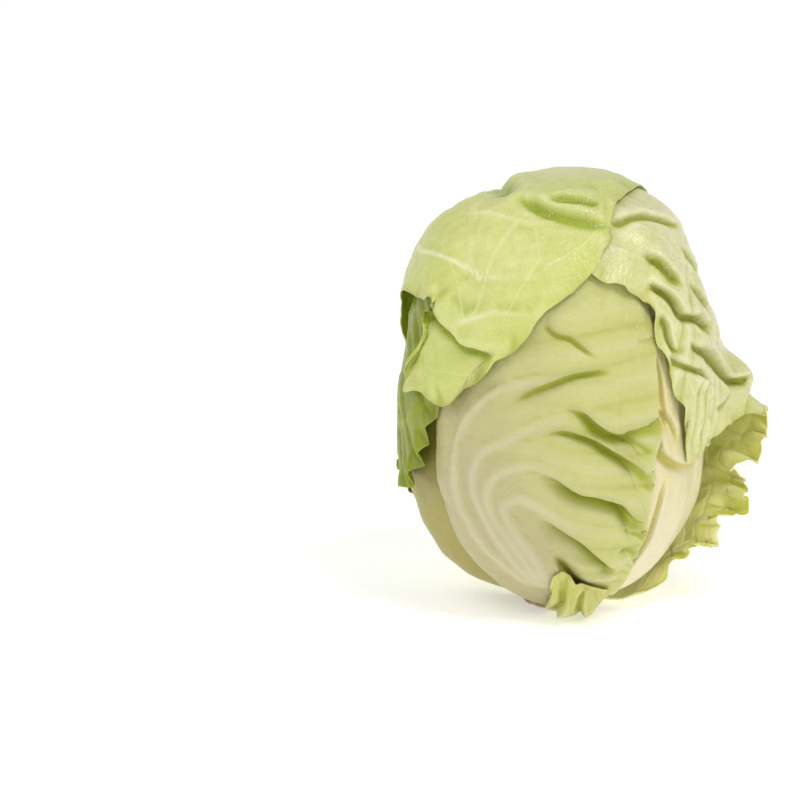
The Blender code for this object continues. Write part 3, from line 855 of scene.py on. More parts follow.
@dataclass(frozen=True)
class Leaf:
    """A leaf drawn by guides from its foot to its margin, rows of (longitude, latitude, height).

    The guides run side by side, and their last points are the free margin. The grid is the number
    of points across the guides and along them. Crumple is the height of its uneven swelling and
    ragged that of its uneven margin, in mm. Pale says where along the leaf its white foot ends: all
    white before the first share of its length, and all blade after the second. Shown is -1 where
    the inner face is the one in view, so that the painted shade of its hollows and the painted
    highlight of its ridges fall on that face.
    """

    node: str
    slot: Slot
    finish: LeafFinish
    grid: tuple[int, int]
    guides: tuple
    features: tuple = ()
    ruffles: tuple = ()
    crumple: float = 0.8
    crumple_size: float = 14.0
    ragged: float = 0.35
    pale: tuple[float, float] = (0.1, 0.7)
    thickness: float = 0.9
    shown: float = 1.0
    seed: int = 1

    # How much closer the points along a guide lie at the margin than at the foot
    DENSER = 0.42
    # The width in mm of the painted margin, and the depth of the ragged one
    EDGE = 1.6
    RAGGED_DEPTH = 4.0
    # Wavelengths in mm of the ragged margin's two waves, and the seeds that are added for them
    RAGGED_WAVES = (5.0, 2.1)
    RAGGED_SEED = 70
    # How many broad and fine waves the swelling has, their heights against crumple, and the fine
    # ones' shortest length and step in mm
    BROAD = (4, 0.5)
    FINE = (5, 0.07)
    FINE_LENGTH = (5.5, 1.3)

    def sheet(self, form: HeadForm) -> Sheet:
        """Shapes the leaf's outer face.

        Args:
            form: The head form it wraps.

        Returns:
            The face and its marks, before it is laid on the pile.
        """
        guides = np.array(self.guides, float)
        rows = np.concatenate([toward(guides[..., 0], guides[..., 1]), guides[..., 2:]], -1)
        across, along = (np.linspace(0, 1, count) for count in self.grid)
        along = along * (1 + self.DENSER - self.DENSER * along)
        grid = spline(np.moveaxis(spline(np.moveaxis(rows, 1, 0), along), 0, 1), across)
        u, v = np.meshgrid(across, along, indexing="ij")
        shape = Shape(form, unit(grid[..., :3]), grid[..., 3].copy(), u, v)
        for feature in self.features:
            feature.bend(shape)
        shape.relief += self.swell(shape)
        points, _ = form.place(shape.q, shape.height)
        points = points + shape.face * (shape.relief * MM)[..., None] + shape.shift
        points, back, s = self.frill(points, shape.normal)
        pale = 1 - smooth((v - self.pale[0]) / (self.pale[1] - self.pale[0]))
        marks = {
            "pale": pale,
            "vein": np.clip(shape.vein, 0, 1),
            "crease": np.clip(shape.crease, 0, 1),
            "edge": np.exp(-back / self.EDGE),
        }
        flow = np.stack([s * MM, back * MM, np.full_like(s, self.seed)], -1)
        turn = np.cross(np.gradient(points, axis=0), np.gradient(points, axis=1))
        outward = float(np.sign((turn * shape.normal).sum()))
        return Sheet(points, marks, flow, outward)

    def swell(self, shape: Shape) -> Array:
        """Soft uneven swelling in mm, a sum of tilted sine waves that fades out at the foot.

        Args:
            shape: The leaf being shaped.

        Returns:
            Heights to add.
        """
        rng = np.random.default_rng(self.seed)
        broad, high = self.BROAD
        fine, low = self.FINE
        first, step = self.FINE_LENGTH
        waves = [(self.crumple_size * (1 + 0.6 * k), high) for k in range(broad)]
        waves += [(first + step * k, low) for k in range(fine)]
        total = np.zeros_like(shape.height)
        for length, rise in waves:
            way = unit(rng.normal(size=3)) * 2 * np.pi / length
            total += rise * self.crumple * np.sin(shape.base @ way / MM + rng.uniform(0, 6.3))
        return total * smooth(3 * shape.v)

    def frill(self, points: Array, normal: Array) -> tuple[Array, Array, Array]:
        """Moves the points by the ruffles and ragged edge of the free margin.

        Args:
            points: The sheet's points, in metres.
            normal: The form's normals under them.

        Returns:
            The moved points, the way in from the margin in mm and the way along it in mm.
        """
        steps = np.linalg.norm(np.diff(points[:, -1], axis=0), axis=1)
        s = np.concatenate([[0], np.cumsum(steps)])[:, None] / MM + np.zeros(points.shape[:2])
        inward = np.linalg.norm(np.diff(points, axis=1), axis=2)[:, ::-1]
        start = np.zeros((len(points), 1))
        back = np.concatenate([start, np.cumsum(inward, axis=1)], 1)[:, ::-1] / MM
        along = unit(np.gradient(points, axis=0))
        out = unit(np.gradient(points, axis=1))
        face = unit(np.cross(along, out))
        face = face * np.sign((face * normal).sum(-1).mean())
        out = np.broadcast_to(out[:, -1:], out.shape)
        shift = np.zeros_like(points)
        for ruffle in self.ruffles:
            shift += ruffle.bend(s, back, along, out, face)
        slow, fast = self.RAGGED_WAVES
        rough = wander(s, slow, self.seed + self.RAGGED_SEED)
        rough = rough + 0.6 * wander(s, fast, self.seed + self.RAGGED_SEED + 1)
        fall = smooth(1 - back / self.RAGGED_DEPTH)
        shift += out * (self.ragged * MM * rough * fall)[..., None]
        return points + shift, back, s


def shell(sheet: Sheet, thickness: float) -> tuple[Array, Array, Array]:
    """Closes a sheet into a solid: its outer face, an inner face below it and a rounded rim.

    Args:
        sheet: The outer face.
        thickness: The leaf's thickness in mm, which thins to half at the free margin.

    Returns:
        Points, quads, and for every point the number of the sheet's point that it copies.
    """
    across, along = sheet.points.shape[:2]
    index = np.arange(across * along).reshape(across, along)
    outer = sheet.points.reshape(-1, 3)
    thin = (thickness * (1 - MARGIN_THINNING * sheet.marks["edge"]) * MM).reshape(-1, 1)
    inner = outer - sheet.normals().reshape(-1, 3) * thin
    loop = np.concatenate([index[:-1, 0], index[-1, :-1], index[:0:-1, -1], index[0, :0:-1]])
    inside = np.concatenate([index[:-1, 1], index[-2, :-1], index[:0:-1, -2], index[1, :0:-1]])
    bulge = unit(outer[loop] - outer[inside]) * thin[loop] * RIM_BULGE
    rim = 0.5 * (outer[loop] + inner[loop]) + bulge
    points = np.concatenate([outer, inner, rim])
    a, b, c, d = index[:-1, :-1], index[1:, :-1], index[1:, 1:], index[:-1, 1:]
    top = np.stack([a, b, c, d], -1).reshape(-1, 4)
    under = top[:, ::-1] + len(outer)
    number = np.arange(len(loop)) + 2 * len(outer)
    p, p2, r, r2 = loop, np.roll(loop, -1), number, np.roll(number, -1)
    sides = np.stack([p2, p, r, r2], -1)
    lower = np.stack([r2, r, p + len(outer), p2 + len(outer)], -1)
    faces = np.concatenate([top, under, sides, lower])
    if sheet.outward < 0:
        faces = faces[:, ::-1]
    return points, faces, np.concatenate([index.ravel(), index.ravel(), loop])


def belt(sectors: int, rings: int) -> tuple[Array, Array, Array]:
    """Numbers the points of a closed band of rings.

    Args:
        sectors: How many points each ring has.
        rings: How many rings there are.

    Returns:
        The points' numbers as a grid, those of the next sector, and the quads between them.
    """
    index = np.arange(sectors * rings).reshape(sectors, rings)
    after = np.roll(index, -1, 0)
    quads = np.stack([index[:, :-1], after[:, :-1], after[:, 1:], index[:, 1:]], -1)
    return index, after, quads.reshape(-1, 4)


def make_mesh(name: str, points: Array, faces: Array) -> bpy.types.Mesh:
    """Makes a smooth-shaded mesh.

    Args:
        name: The mesh's name.
        points: Its points, in metres.
        faces: Its faces, as rows of point numbers that all have the same length.

    Returns:
        The mesh.
    """
    mesh = bpy.data.meshes.new(name)
    corners = faces.shape[1]
    mesh.vertices.add(len(points))
    mesh.vertices.foreach_set("co", points.astype(np.float32).ravel())
    mesh.loops.add(faces.size)
    mesh.loops.foreach_set("vertex_index", faces.astype(np.int32).ravel())
    mesh.polygons.add(len(faces))
    mesh.polygons.foreach_set("loop_start", np.arange(0, faces.size, corners, dtype=np.int32))
    mesh.update(calc_edges=True)
    mesh.validate()
    mesh.shade_smooth()
    return mesh


class Piece:
    """One visual piece of the head, which rides on the part's only body."""

    def __init__(self, name: str, slot: Slot, nodes: tuple[str, ...] = ()) -> None:
        """Names the piece, its material slot and the CAD nodes that it stands for."""
        self.name = name
        self.slot = slot
        self.nodes = nodes

    def place(self, mesh: bpy.types.Mesh, material: bpy.types.Material) -> bpy.types.Object:
        """Puts the mesh into the scene as this piece.

        Args:
            mesh: The piece's mesh, already in its place.
            material: Its finish.

        Returns:
            The object.
        """
        item = bpy.data.objects.new(self.name, mesh)
        bpy.context.scene.collection.objects.link(item)
        mesh.materials.append(material)
        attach(item, "root")
        if self.nodes:
            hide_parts(*self.nodes)
        LOG.info("%s: %d points, %d faces", self.name, len(mesh.vertices), len(mesh.polygons))
        return item


# Outermost leaf, hardened by the light: fresh yellow-green with a satin wax that catches the light
CROWN_GREEN = LeafFinish("BCC462", "D2D490", "E6E7BE", "93A01E", "A39C4E",
                         roughness=0.33, network=0.06)
# Outer leaf that was shaded by the crown: paler, with a wet gloss on its ridges
RIGHT_GREEN = LeafFinish("C6C87A", "DCDAAC", "ECECCC", "9CA22C", "B0AE4C",
                         roughness=0.3, network=0.08)
# Blanched wrapper leaf: cream at its thick ribs, yellow-green painted shade in its puckers, softly
# matt; its foot colour is darkened and greyed as painted shade of the lower part
FRONT_CREAM = LeafFinish("C2C378", "B3AA7E", "D6D1B2", "99A022", "C9C88C",
                         mottle=0.25, network=0.04)
# Blanched leaf in the shade of the head: cream darkened to a dull olive as painted shade, with a
# browned rim
SHADED_LEFT_CREAM = LeafFinish("938B30", "A0964A", "BDB47E", "858030", "6E5A30", mottle=0.25, network=0.04)
# Shoulder leaf on the shaded left: saturated green darkened as painted shade, with a fine pale
# mesh of veins
SHADED_LOBE_GREEN = LeafFinish("7E8A00", "8A9410", "A0A838", "6C7618", "8C8F38", network=0.12)
# Thin tender frill: yellow-green brightened as painted light, for light coming through it and to
# lift its shaded pocket
LIT_FRILL_GREEN = LeafFinish("EEEC9E", "F3F0BE", "F6F4D8", "BEC040", "B9BB42", network=0.08)
# Inner leaves that never saw light: warm cream and almost even in colour
HEART_YELLOW = LeafFinish("DAD196", "E3D9B6", "F0EACB", "C9BF62", "DCD08C",
                          mottle=0.25, network=0.04)
# Foot of a trimmed outer leaf: pale yellow-green and fleshy
BASE_GREEN = LeafFinish("BDBC62", "CAC68A", "D8D5A4", "A6AC40", "B4AE58", network=0.06)

LEFT_LEAF = Leaf(
    node="left_leaf",
    slot=Slot.PALE,
    finish=SHADED_LEFT_CREAM,
    grid=(110, 110),
    guides=(
        ((0, -75, -2), (-18, -50, -2), (-28, -25, -2), (-30, 0, -2), (-30, 20, -2)),
        ((-30, -75, 0), (-50, -50, 0), (-58, -25, 0), (-60, 0, 0), (-58, 25, -1)),
        ((-60, -75, -1), (-78, -50, 6.5), (-86, -25, 6), (-88, 5, 2), (-85, 35, 0)),
        ((-100, -75, -1), (-115, -50, 4.5), (-120, -25, 4), (-118, 10, 1), (-110, 40, 0)),
        ((-140, -75, 1), (-150, -50, 1), (-155, -25, 1), (-150, 10, 0), (-140, 40, 0)),
    ),
    features=(Pleats(9, 0.5, 0.3, 0.9, seed=4),),
    crumple=0.5,
    crumple_size=14.0,
    pale=(0.3, 1.2),
    seed=14,
)

INNER_LEAF = Leaf(
    node="inner_leaf",
    slot=Slot.HEART,
    finish=HEART_YELLOW,
    grid=(150, 190),
    guides=(
        ((10, -75, 1), (20, -62, 1), (26, -50, 2), (27, -34, 2), (26, -16, 2), (25, 6, 1),
         (24, 24, 0)),
        ((35, -75, 1), (44, -60, 4), (47, -47, 4), (45, -30, 4), (43, -12, 4), (41, 8, 4),
         (40, 26, 1)),
        ((55, -75, 1), (62, -58, 5), (64, -43, 5), (62, -28, 4), (60, -10, 3), (57, 10, 2),
         (54, 28, 0)),
        ((75, -75, 1), (82, -55, 4), (84, -40, 4), (84, -26, 4), (82, -10, 2), (78, 8, 0),
         (74, 26, -1)),
        ((100, -75, 0), (106, -55, 1), (108, -40, 1), (108, -26, 1), (106, -12, 0), (102, 6, -2),
         (98, 22, -3)),
    ),
    features=(
        Fold(((42, -15), (41.5, -27), (42, -36), (40, -46), (36, -56)), 3.5, 1.8, 1.2, 0.8,
              (0.2, 0.3)),
        Fold(((34, -3), (36, -5), (38, -8), (41, -10), (46, -12), (53, -13), (62, -13), (70, -11)),
             7, 3.2, 3.2, 1.5, (0.1, 0.2)),
        Fold(((33, 4), (35, 3), (40, 1), (43, -2), (46, -7)), 4, 1.6, 2.2, 0.5, (0.1, 0.3)),
        Fold(((36, 18), (38, 10), (39, 2), (42, -6)), 4, 1.0, 1.6, 0.5, (0.2, 0.4)),
        Pleats(8, 0.6, 0.4, 0.9, seed=9),
    ),
    crumple=0.5,
    pale=(0.2, 0.9),
    seed=19,
)

FRONT_LEAF = Leaf(
    node="front_leaf",
    slot=Slot.PALE,
    finish=FRONT_CREAM,
    grid=(230, 200),
    guides=(
        ((-8, -75, 4), (-36, -62, 4), (-54, -36, 4), (-53, -4, 4), (-40, 26, 4), (0, 45, 3),
         (36, 40, 2)),
        ((-5, -75, 4), (-28, -48, 4), (-44, -20, 5), (-36, 3, 4), (-14, 13, 3), (10, 16, 3),
         (35, 18, 2)),
        ((-2, -75, 4), (-18, -43, 4), (-30, -22, 4), (-21, -11, 3), (-4, -12, 3), (14, -15, 3),
         (35, -17, 2)),
        ((2, -75, 4), (-3, -57, 4), (-11, -38, 4), (-4, -32, 4), (9, -36, 5), (24, -39, 5),
         (38, -41, 2)),
        ((8, -75, 4), (12, -71, 4), (17, -66, 4), (23, -63, 5), (30, -61, 5), (37, -60, 4),
         (43, -59, 3)),
    ),
    features=(
        Fold(((-9, 27), (-4, 24), (1, 23), (7, 20), (12, 18)), 5, 1.3, 1.5, 0.3, (0.2, 0.4)),
        Fold(((24, 22), (33, 21), (42, 20)), 5, 1.2, 2.2, 0.3, (0.6, 0.25)),
        Fold(((-24, 4), (-14, 9), (-5, 12), (3, 14), (12, 14.5), (19, 15)), 7, 2.2, 2.2, 0.6,
              (0.5, 0.3)),
        Fold(((-4, 5), (6, 4), (12, 1), (18, -1.5), (24, -1), (33, 0), (40, 2)), 10, 4, 4, 2.0,
              (0.4, 0.18)),
        Fold(((-12, -3), (-2, -1), (9, -3), (18, -7), (27, -11), (33, -14), (40, -13)),
             8, 3, 4, 1.5, (0.4, 0.18)),
        Fold(((16, -1), (22, -3), (28, -5), (34, -8)), 5, 1.4, 3, 0.5, (0.4, 0.15)),
        Fold(((27, -15), (34, -17), (38, -20)), 4, 1.6, 2.0, 0.5, (0.6, 0.2)),
        Fold(((-12, -13), (-4, -14), (5, -17), (13, -18.5), (22, -21), (28, -25), (34, -27),
              (40, -29)),
             10, 4, 5, 2.4, (0.35, 0.18)),
        Fold(((23, -29), (33, -31), (40, -33)), 5, 1.6, 2.4, 0.5, (0.5, 0.2)),
        Fold(((-14, -25), (-4, -27), (6, -31), (14, -36), (24, -42), (30, -46)),
             10, 3.8, 5, 2, (0.4, 0.1)),
        Fold(((22, -36), (30, -36), (36, -38), (42, -42)), 6, 1.8, 2.4, 0.8, (0.5, 0.2)),
        Fold(((30, -61), (20, -60), (8, -54), (0, -46), (-6, -36)), 7, 3, 3, 2, (0.1, 0.3)),
        Rib(((-14, -55), (-32, -42), (-42, -29), (-44, -18), (-43, -7), (-35, 3), (-25, 9),
             (-10, 12),
             (5, 14), (20, 15), (33, 17)), 3.0, 1.1, paint=0.5),
        Rib(((-10, -55), (-25, -39), (-34, -25), (-36, -16), (-32, -9), (-23, -5), (-10, 0), (1, 3),
             (12, 4), (20, 1), (33, 1)), 3.0, 1.1, paint=0.5),
        Rib(((-7, -55), (-20, -37), (-29, -26), (-30, -19), (-25, -14), (-13, -11), (-2, -13),
             (9, -15), (21, -17), (32, -18)), 3.0, 1.1, paint=0.5),
        Rib(((-4, -55), (-13, -40), (-21, -30), (-24, -23), (-17, -20), (-8, -23), (6, -27),
             (23, -28), (37, -30)), 3.0, 1.1, paint=0.5),
        Pleats(15, 0.6, 0.45, 0.95, (0.1, 0.95), seed=5),
    ),
    ruffles=(Ruffle(wave=21, swing=0.8, sway=0.4, reach=8, lobe=0.4, curl=-1.0, seed=4),),
    ragged=0.12,
    crumple=0.9,
    crumple_size=17.0,
    pale=(0.25, 0.9),
    seed=3,
)

BASE_LEAF = Leaf(
    node="base_leaf",
    slot=Slot.PALE,
    finish=BASE_GREEN,
    grid=(130, 80),
    guides=(
        ((-14, -76, 6), (-12, -68, 7), (-9, -60, 7), (-6, -52, 6)),
        ((2, -77, 6), (-2, -66, 9), (-4, -54, 10), (-3, -44, 7)),
        ((16, -77, 6), (9, -66, 10), (4, -54, 11), (1, -43, 7)),
        ((30, -76, 6), (22, -67, 10), (14, -57, 10), (9, -48, 7)),
        ((42, -75, 6), (34, -68, 9), (26, -59, 9), (20, -51, 6)),
        ((54, -73, 5), (47, -68, 7), (38, -62, 7), (32, -55, 5)),
    ),
    features=(
        Fold(((2, -44), (3, -54), (0, -62), (-2, -70)), 6, 3, 3, 1.5, (0.1, 0.1)),
        Fold(((12, -50), (14, -58), (20, -66), (28, -72)), 5, 2, 2.5, 1.0, (0.1, 0.1)),
        Pleats(4, 0.6, 0.05, 0.4, seed=2),
    ),
    ruffles=(Ruffle(wave=22, swing=0.8, reach=6, lobe=1.0, seed=31),),
    ragged=0.12,
    crumple=1.2,
    crumple_size=14.0,
    seed=17,
)

SHOULDER_LEAF = Leaf(
    node="shoulder_leaf",
    slot=Slot.GREEN,
    finish=SHADED_LOBE_GREEN,
    grid=(140, 130),
    guides=(
        ((-108, -60, 2), (-106, -51, 3), (-104, -41, 5), (-101, -31, 7), (-92, -27, 8)),
        ((-116, -60, 3), (-116, -38, 4), (-110, -22, 6), (-98, -15, 7), (-84, -19, 9)),
        ((-120, -60, 3), (-122, -28, 4), (-112, -8, 6), (-90, -6, 8), (-71, -22, 11)),
        ((-124, -60, 3), (-128, -18, 4), (-116, 6, 5), (-84, 4, 7), (-61, -16, 11)),
        ((-128, -60, 3), (-134, -8, 4), (-122, 18, 4), (-80, 16, 5), (-53, -4, 8)),
        ((-132, -60, 3), (-140, 4, 3), (-130, 32, 4), (-80, 30, 4), (-50, 10, 4)),
        ((-136, -60, 3), (-148, 10, 2), (-145, 42, 3), (-110, 50, 3), (-60, 36, 3)),
    ),
    features=(Veins(0.45, 6, 0.4, seed=6), Pleats(10, 1.6, 0.5, 0.95, seed=14)),
    ruffles=(Ruffle(wave=15, swing=2.5, sway=1.0, reach=12, lobe=1.0, span=(0.0, 0.75), seed=41),),
    seed=15,
)

RIGHT_LEAF = Leaf(
    node="right_leaf",
    slot=Slot.GREEN,
    finish=LIT_FRILL_GREEN,
    grid=(260, 150),
    guides=(
        ((62, -75, 3), (66, -71, 5), (68, -67, 7), (67, -64, 8), (66, -61, 9), (66, -58, 10)),
        ((74, -75, 3), (80, -68, 4), (82, -62, 6), (80, -58, 8), (77, -55, 11), (75, -52, 14)),
        ((84, -75, 3), (91, -64, 3), (93, -56, 4), (89, -52, 7), (84, -49, 9), (79, -47, 11)),
        ((94, -75, 3), (102, -60, 3), (103, -50, 4), (97, -45, 9), (89, -42, 13), (81, -39, 19)),
        ((100, -75, 3), (109, -56, 3), (110, -44, 4), (103, -39, 8), (94, -35, 13), (84, -31, 21)),
        ((106, -75, 3), (116, -51, 2), (117, -37, 4), (108, -32, 9), (97, -27, 15),
         (86, -24.5, 28)),
        ((112, -75, 3), (122, -46, 2), (123, -30, 3), (112, -26, 9), (100, -22, 15),
         (88, -21.5, 20)),
        ((116, -75, 3), (127, -42, 2), (127, -25, 3), (115, -21, 8), (102, -18, 13), (89, -18, 20)),
        ((120, -75, 3), (131, -38, 2), (130, -20, 3), (118, -15, 8), (104, -13, 18), (90, -13, 31)),
        ((124, -75, 3), (136, -34, 2), (134, -14, 3), (121, -9, 9), (106, -8, 20), (91, -9, 33)),
        ((130, -75, 3), (142, -30, 2), (139, -7, 2), (124, -2, 8), (108, -3, 16), (92, -4, 23)),
        ((138, -75, 2), (149, -25, 1), (146, 2, 2), (128, 7, 4), (110, 6, 8), (93, 1, 15)),
        ((150, -75, 2), (164, -20, 1), (160, 15, 1), (140, 22, 1), (118, 20, 1), (94, 14, 3)),
        ((-165, -75, 2), (-168, -20, 1), (-172, 28, 0), (175, 44, 0), (150, 50, 0), (112, 48, 1)),
    ),
    features=(
        Veins(0.6, 7, 0.3, paint=0.6, seed=7),
        Pleats(13, 2.4, 0.4, 0.8, (0.14, 0.85), seed=24),
    ),
    ruffles=(
        Ruffle(wave=19, swing=6.0, sway=2.0, reach=30, lobe=0.0, span=(0.1, 0.85), phase=1.0,
               seed=21),
        Ruffle(wave=8, swing=2.4, sway=0.8, reach=18, lobe=0.8, span=(0.16, 0.85), seed=25),
    ),
    crumple=0.9,
    pale=(0.3, 1.0),
    shown=-1.0,
    seed=11,
)

CROWN_RIGHT_LEAF = Leaf(
    node="crown_right_leaf",
    slot=Slot.GREEN,
    finish=RIGHT_GREEN,
    grid=(230, 200),
    guides=(
        ((138, -72, 4), (124, -31, 5), (120, -22, 5), (116, -15, 7), (112, -10, 12), (107, -6, 18),
         (101, -2, 23), (95, -4, 23)),
        ((140, -72, 4), (128, -26, 5), (123, -10, 6), (117, -2, 8), (110, 2, 11), (103, 3, 18),
         (96, 4, 25), (88, -6, 17)),
        ((142, -72, 4), (131, -20, 5), (126, 0, 5), (118, 10, 5), (108, 14, 6), (98, 14, 8),
         (89, 10, 12), (80, -6, 13)),
        ((144, -72, 4), (134, -17, 5), (128, 6, 4), (117, 19, 3), (103, 24, 3), (88, 21, 8),
         (77, 13, 9), (71, -8, 10)),
        ((145, -72, 4), (136, -14, 5), (129, 10, 4), (116, 25, 3), (96, 30, 3), (77, 26, 5),
         (67, 12, 8), (64, -8, 9)),
        ((146, -72, 4), (138, -12, 5), (130, 12, 4), (116, 29, 3), (93, 34, 3), (71, 27, 6),
         (62, 8, 8), (61, -9, 8)),
        ((147, -72, 4), (139, -10, 5), (131, 14, 4), (116, 31, 3), (91, 36, 3), (68, 28, 7),
         (57, 6, 8), (56, -12, 8)),
        ((148, -72, 4), (141, -8, 5), (132, 16, 4), (117, 33, 3), (89, 38, 4), (65, 29, 7),
         (53, 7, 8), (48, -11, 7)),
        ((149, -72, 4), (143, -6, 5), (134, 18, 4), (118, 36, 4), (88, 40, 4), (63, 31, 7),
         (52, 11, 8), (48, -3, 7)),
        ((150, -72, 4), (145, -3, 5), (136, 22, 5), (118, 40, 5), (86, 44, 5), (60, 34, 7),
         (49, 18, 8), (42, 8, 7)),
        ((152, -72, 4), (148, 1, 5), (139, 28, 5), (120, 45, 6), (84, 49, 7), (57, 39, 7),
         (46, 29, 8), (36, 18, 7)),
        ((154, -72, 4), (151, 5, 5), (142, 34, 6), (123, 51, 7), (82, 56, 7), (52, 47, 8),
         (40, 38, 7), (32, 31, 6)),
        ((157, -72, 4), (157, 10, 5), (149, 42, 6), (132, 60, 6), (72, 66, 5), (38, 56, 6),
         (26, 46, 6), (18, 36, 5)),
        ((162, -72, 3), (168, 16, 4), (166, 48, 4), (160, 68, 4), (20, 80, 4), (-4, 66, 4),
         (-8, 54, 4), (-10, 44, 4)),
    ),
    features=(
        Fold(((24, 54), (32, 54), (48, 55), (58, 53), (68, 51), (80, 47)), 6, 2.2, 2.5, 1.5,
              (0.1, 0.3)),
        Fold(((36, 44), (39, 42), (43, 40), (46, 37), (48, 35), (50, 32)), 7, 2.5, 3.5, 1,
              (0.3, 0.3)),
        Fold(((33, 36), (42, 33), (46, 30), (48, 27), (53, 26), (58, 25),
              (63, 21)), 6, 3.2, 4, 2, (0.2, 0.1)),
        Fold(((38, 28), (40, 24), (41, 20), (43, 17)), 4, 2, 3, 1, (0.3, 0.2)),
        Fold(((38, 17), (44, 15), (51, 13), (58, 11)), 4.5, 2, 3, 1, (0.2, 0.3)),
        Fold(((49, 20), (54, 18), (59, 17), (66, 14), (74, 10), (84, 6), (94, 4)), 6, 4, 4, 2,
              (0.2, 0.05)),
        Fold(((63, -10), (61, -4), (58, -1), (59, 3), (62, 5), (57, 9), (52, 11)), 5, 3, 4.5, 1,
              (0.05, 0.2)),
        Fold(((66, 0), (74, 0), (84, 3)), 6, 1.2, 0.8, 0, (0.3, 0.3)),
        Fold(((58, 34), (64, 30), (70, 24), (76, 20)), 6, 2, 3, 1, (0.3, 0.3)),
        Fold(((64, 44), (72, 38), (80, 33)), 8, 1.2, 2.5, 0.5, (0.4, 0.4)),
        Veins(0.55, 7, 0.35, rise=0.3, paint=0.4, seed=5),
        Pleats(9, 0.7, 0.5, 0.9, (0.2, 0.8), seed=34),
    ),
    ruffles=(Ruffle(wave=20, swing=1.5, sway=0.5, reach=9, lobe=1.2, seed=12),),
    pale=(0.2, 1.3),
    seed=8,
)

CROWN_LEAF = Leaf(
    node="crown_leaf",
    slot=Slot.GREEN,
    finish=CROWN_GREEN,
    grid=(182, 266),
    guides=(
        ((-118, -75, 6), (-120, -58, 6), (-121, -42, 6), (-120, -26, 6), (-118, -12, 7),
         (-115, 0, 7),
         (-110, 9, 8), (-104, 15, 8)),
        ((-122, -75, 6), (-127, -54, 6), (-129, -32, 6), (-129, -10, 6), (-126, 9, 7),
         (-118, 21, 8),
         (-107, 27, 9), (-94, 24, 9)),
        ((-126, -75, 6), (-133, -50, 5), (-137, -24, 5), (-137, 4, 7), (-130, 26, 8), (-115, 38, 8),
         (-96, 40, 9), (-77, 28, 10)),
        ((-129, -75, 6), (-137, -48, 5), (-142, -20, 5), (-142, 10, 7), (-132, 36, 7),
         (-108, 49, 6),
         (-74, 46, 9), (-61, 29, 10)),
        ((-131, -75, 6), (-140, -48, 5), (-146, -18, 5), (-146, 14, 7), (-132, 43, 7), (-96, 56, 6),
         (-56, 42, 9), (-53, 27, 10)),
        ((-133, -75, 6), (-142, -48, 5), (-149, -18, 5), (-149, 16, 7), (-134, 46, 7), (-87, 59, 6),
         (-46, 36, 9), (-59, 16, 10)),
        ((-134, -75, 6), (-144, -48, 5), (-151, -18, 5), (-152, 17, 7), (-136, 49, 7), (-78, 61, 7),
         (-39, 25, 9), (-69, 5, 10)),
        ((-135, -75, 6), (-145, -48, 5), (-152, -18, 5), (-154, 18, 7), (-138, 51, 7), (-71, 62, 7),
         (-35, 21, 9), (-57, 5, 10)),
        ((-136, -75, 6), (-146, -48, 5), (-153, -18, 5), (-155, 20, 7), (-139, 53, 7.5),
         (-64, 62, 7.5),
         (-31, 20, 9), (-44, 4, 9)),
        ((-137, -75, 6), (-147, -48, 5), (-154, -18, 5), (-156, 22, 7), (-140, 55, 8), (-56, 63, 8),
         (-27, 25, 9), (-33, 11, 8)),
        ((-139, -75, 6), (-149, -48, 5), (-156, -18, 5), (-158, 24, 7), (-142, 58, 8), (-44, 64, 8),
         (-20, 34, 9), (-20, 19, 8)),
        ((-144, -75, 6), (-154, -46, 5), (-161, -14, 5), (-166, 30, 7), (-150, 68, 8), (-28, 68, 8),
         (-8, 44, 8), (-4, 31, 8)),
        ((-149, -75, 6), (-159, -44, 5), (-168, -10, 5), (-176, 34, 7), (-175, 76, 9), (-2, 72, 9),
         (10, 52, 8), (18, 44, 8)),
        ((-153, -75, 6), (-164, -44, 5), (-174, -10, 5), (176, 32, 7), (150, 74, 9), (90, 78, 10),
         (32, 66, 9), (25, 54, 8)),
        ((-156, -75, 6), (-168, -46, 5), (-179, -14, 5), (171, 22, 7), (158, 52, 8), (120, 68, 9),
         (92, 69, 9), (66, 64, 8)),
        ((-160, -75, 6), (-172, -52, 5), (178, -28, 5), (171, -2, 6), (165, 20, 7), (157, 38, 8),
         (144, 49, 8), (124, 50, 8)),
    ),
    features=(
        Fold(((-36, 63), (-29, 62), (-12, 58), (-3, 56), (7, 54), (16, 52.5), (23, 52)),
             8, 2.6, 3.8, 0.4, (0.3, 0.25), 2.4),
        Fold(((-12, 62), (-3, 61.5), (6, 61), (14, 60), (23, 58.5)),
             7, 1.8, 3.4, 0.3, (0.3, 0.25), 2.2),
        Fold(((-56, 29), (-52, 26), (-48, 24), (-42, 22), (-38, 20), (-32, 19.5), (-24, 18)),
             8, 2.8, 2.6, 2.0, (0.16, 0.2), 2.0),
        Fold(((-165, 66), (-138, 67), (-112, 68), (-88, 69), (-66, 69), (-48, 66), (-34, 63)),
             18, 0.3, 8.5, 0.0, (0.15, 0.2), 9.0),
        Rib(((-90, 40), (-78, 39), (-61, 39.5), (-47, 38.5), (-38, 37), (-35, 36), (-19, 37),
             (-3, 36)),
            1.1, 0.4, (0.1, 0.4), 0.8),
        Rib(((-42, 25), (-35, 26), (-27, 28), (-14, 28), (-6, 29)), 1.0, 0.35, (0.1, 0.4), 0.7),
        Rib(((-62, 52), (-55, 53), (-41, 54), (-24, 53), (-8, 50)), 1.1, 0.35, (0.2, 0.5), 0.6),
        Swell(-33, 24, 9, 1.5),
        Swell(-55, 48, 16, 1.5),
        Veins(0.72, 9, 0.25, 0.9, 0.2, paint=0.3, seed=3),
    ),
    ruffles=(Ruffle(wave=30, swing=1.6, sway=0.6, reach=12, lobe=1.5, span=(0.0, 0.85), seed=9),),
    crumple=1.0,
    crumple_size=26.0,
    pale=(0.3, 1.2),
    seed=5,
)

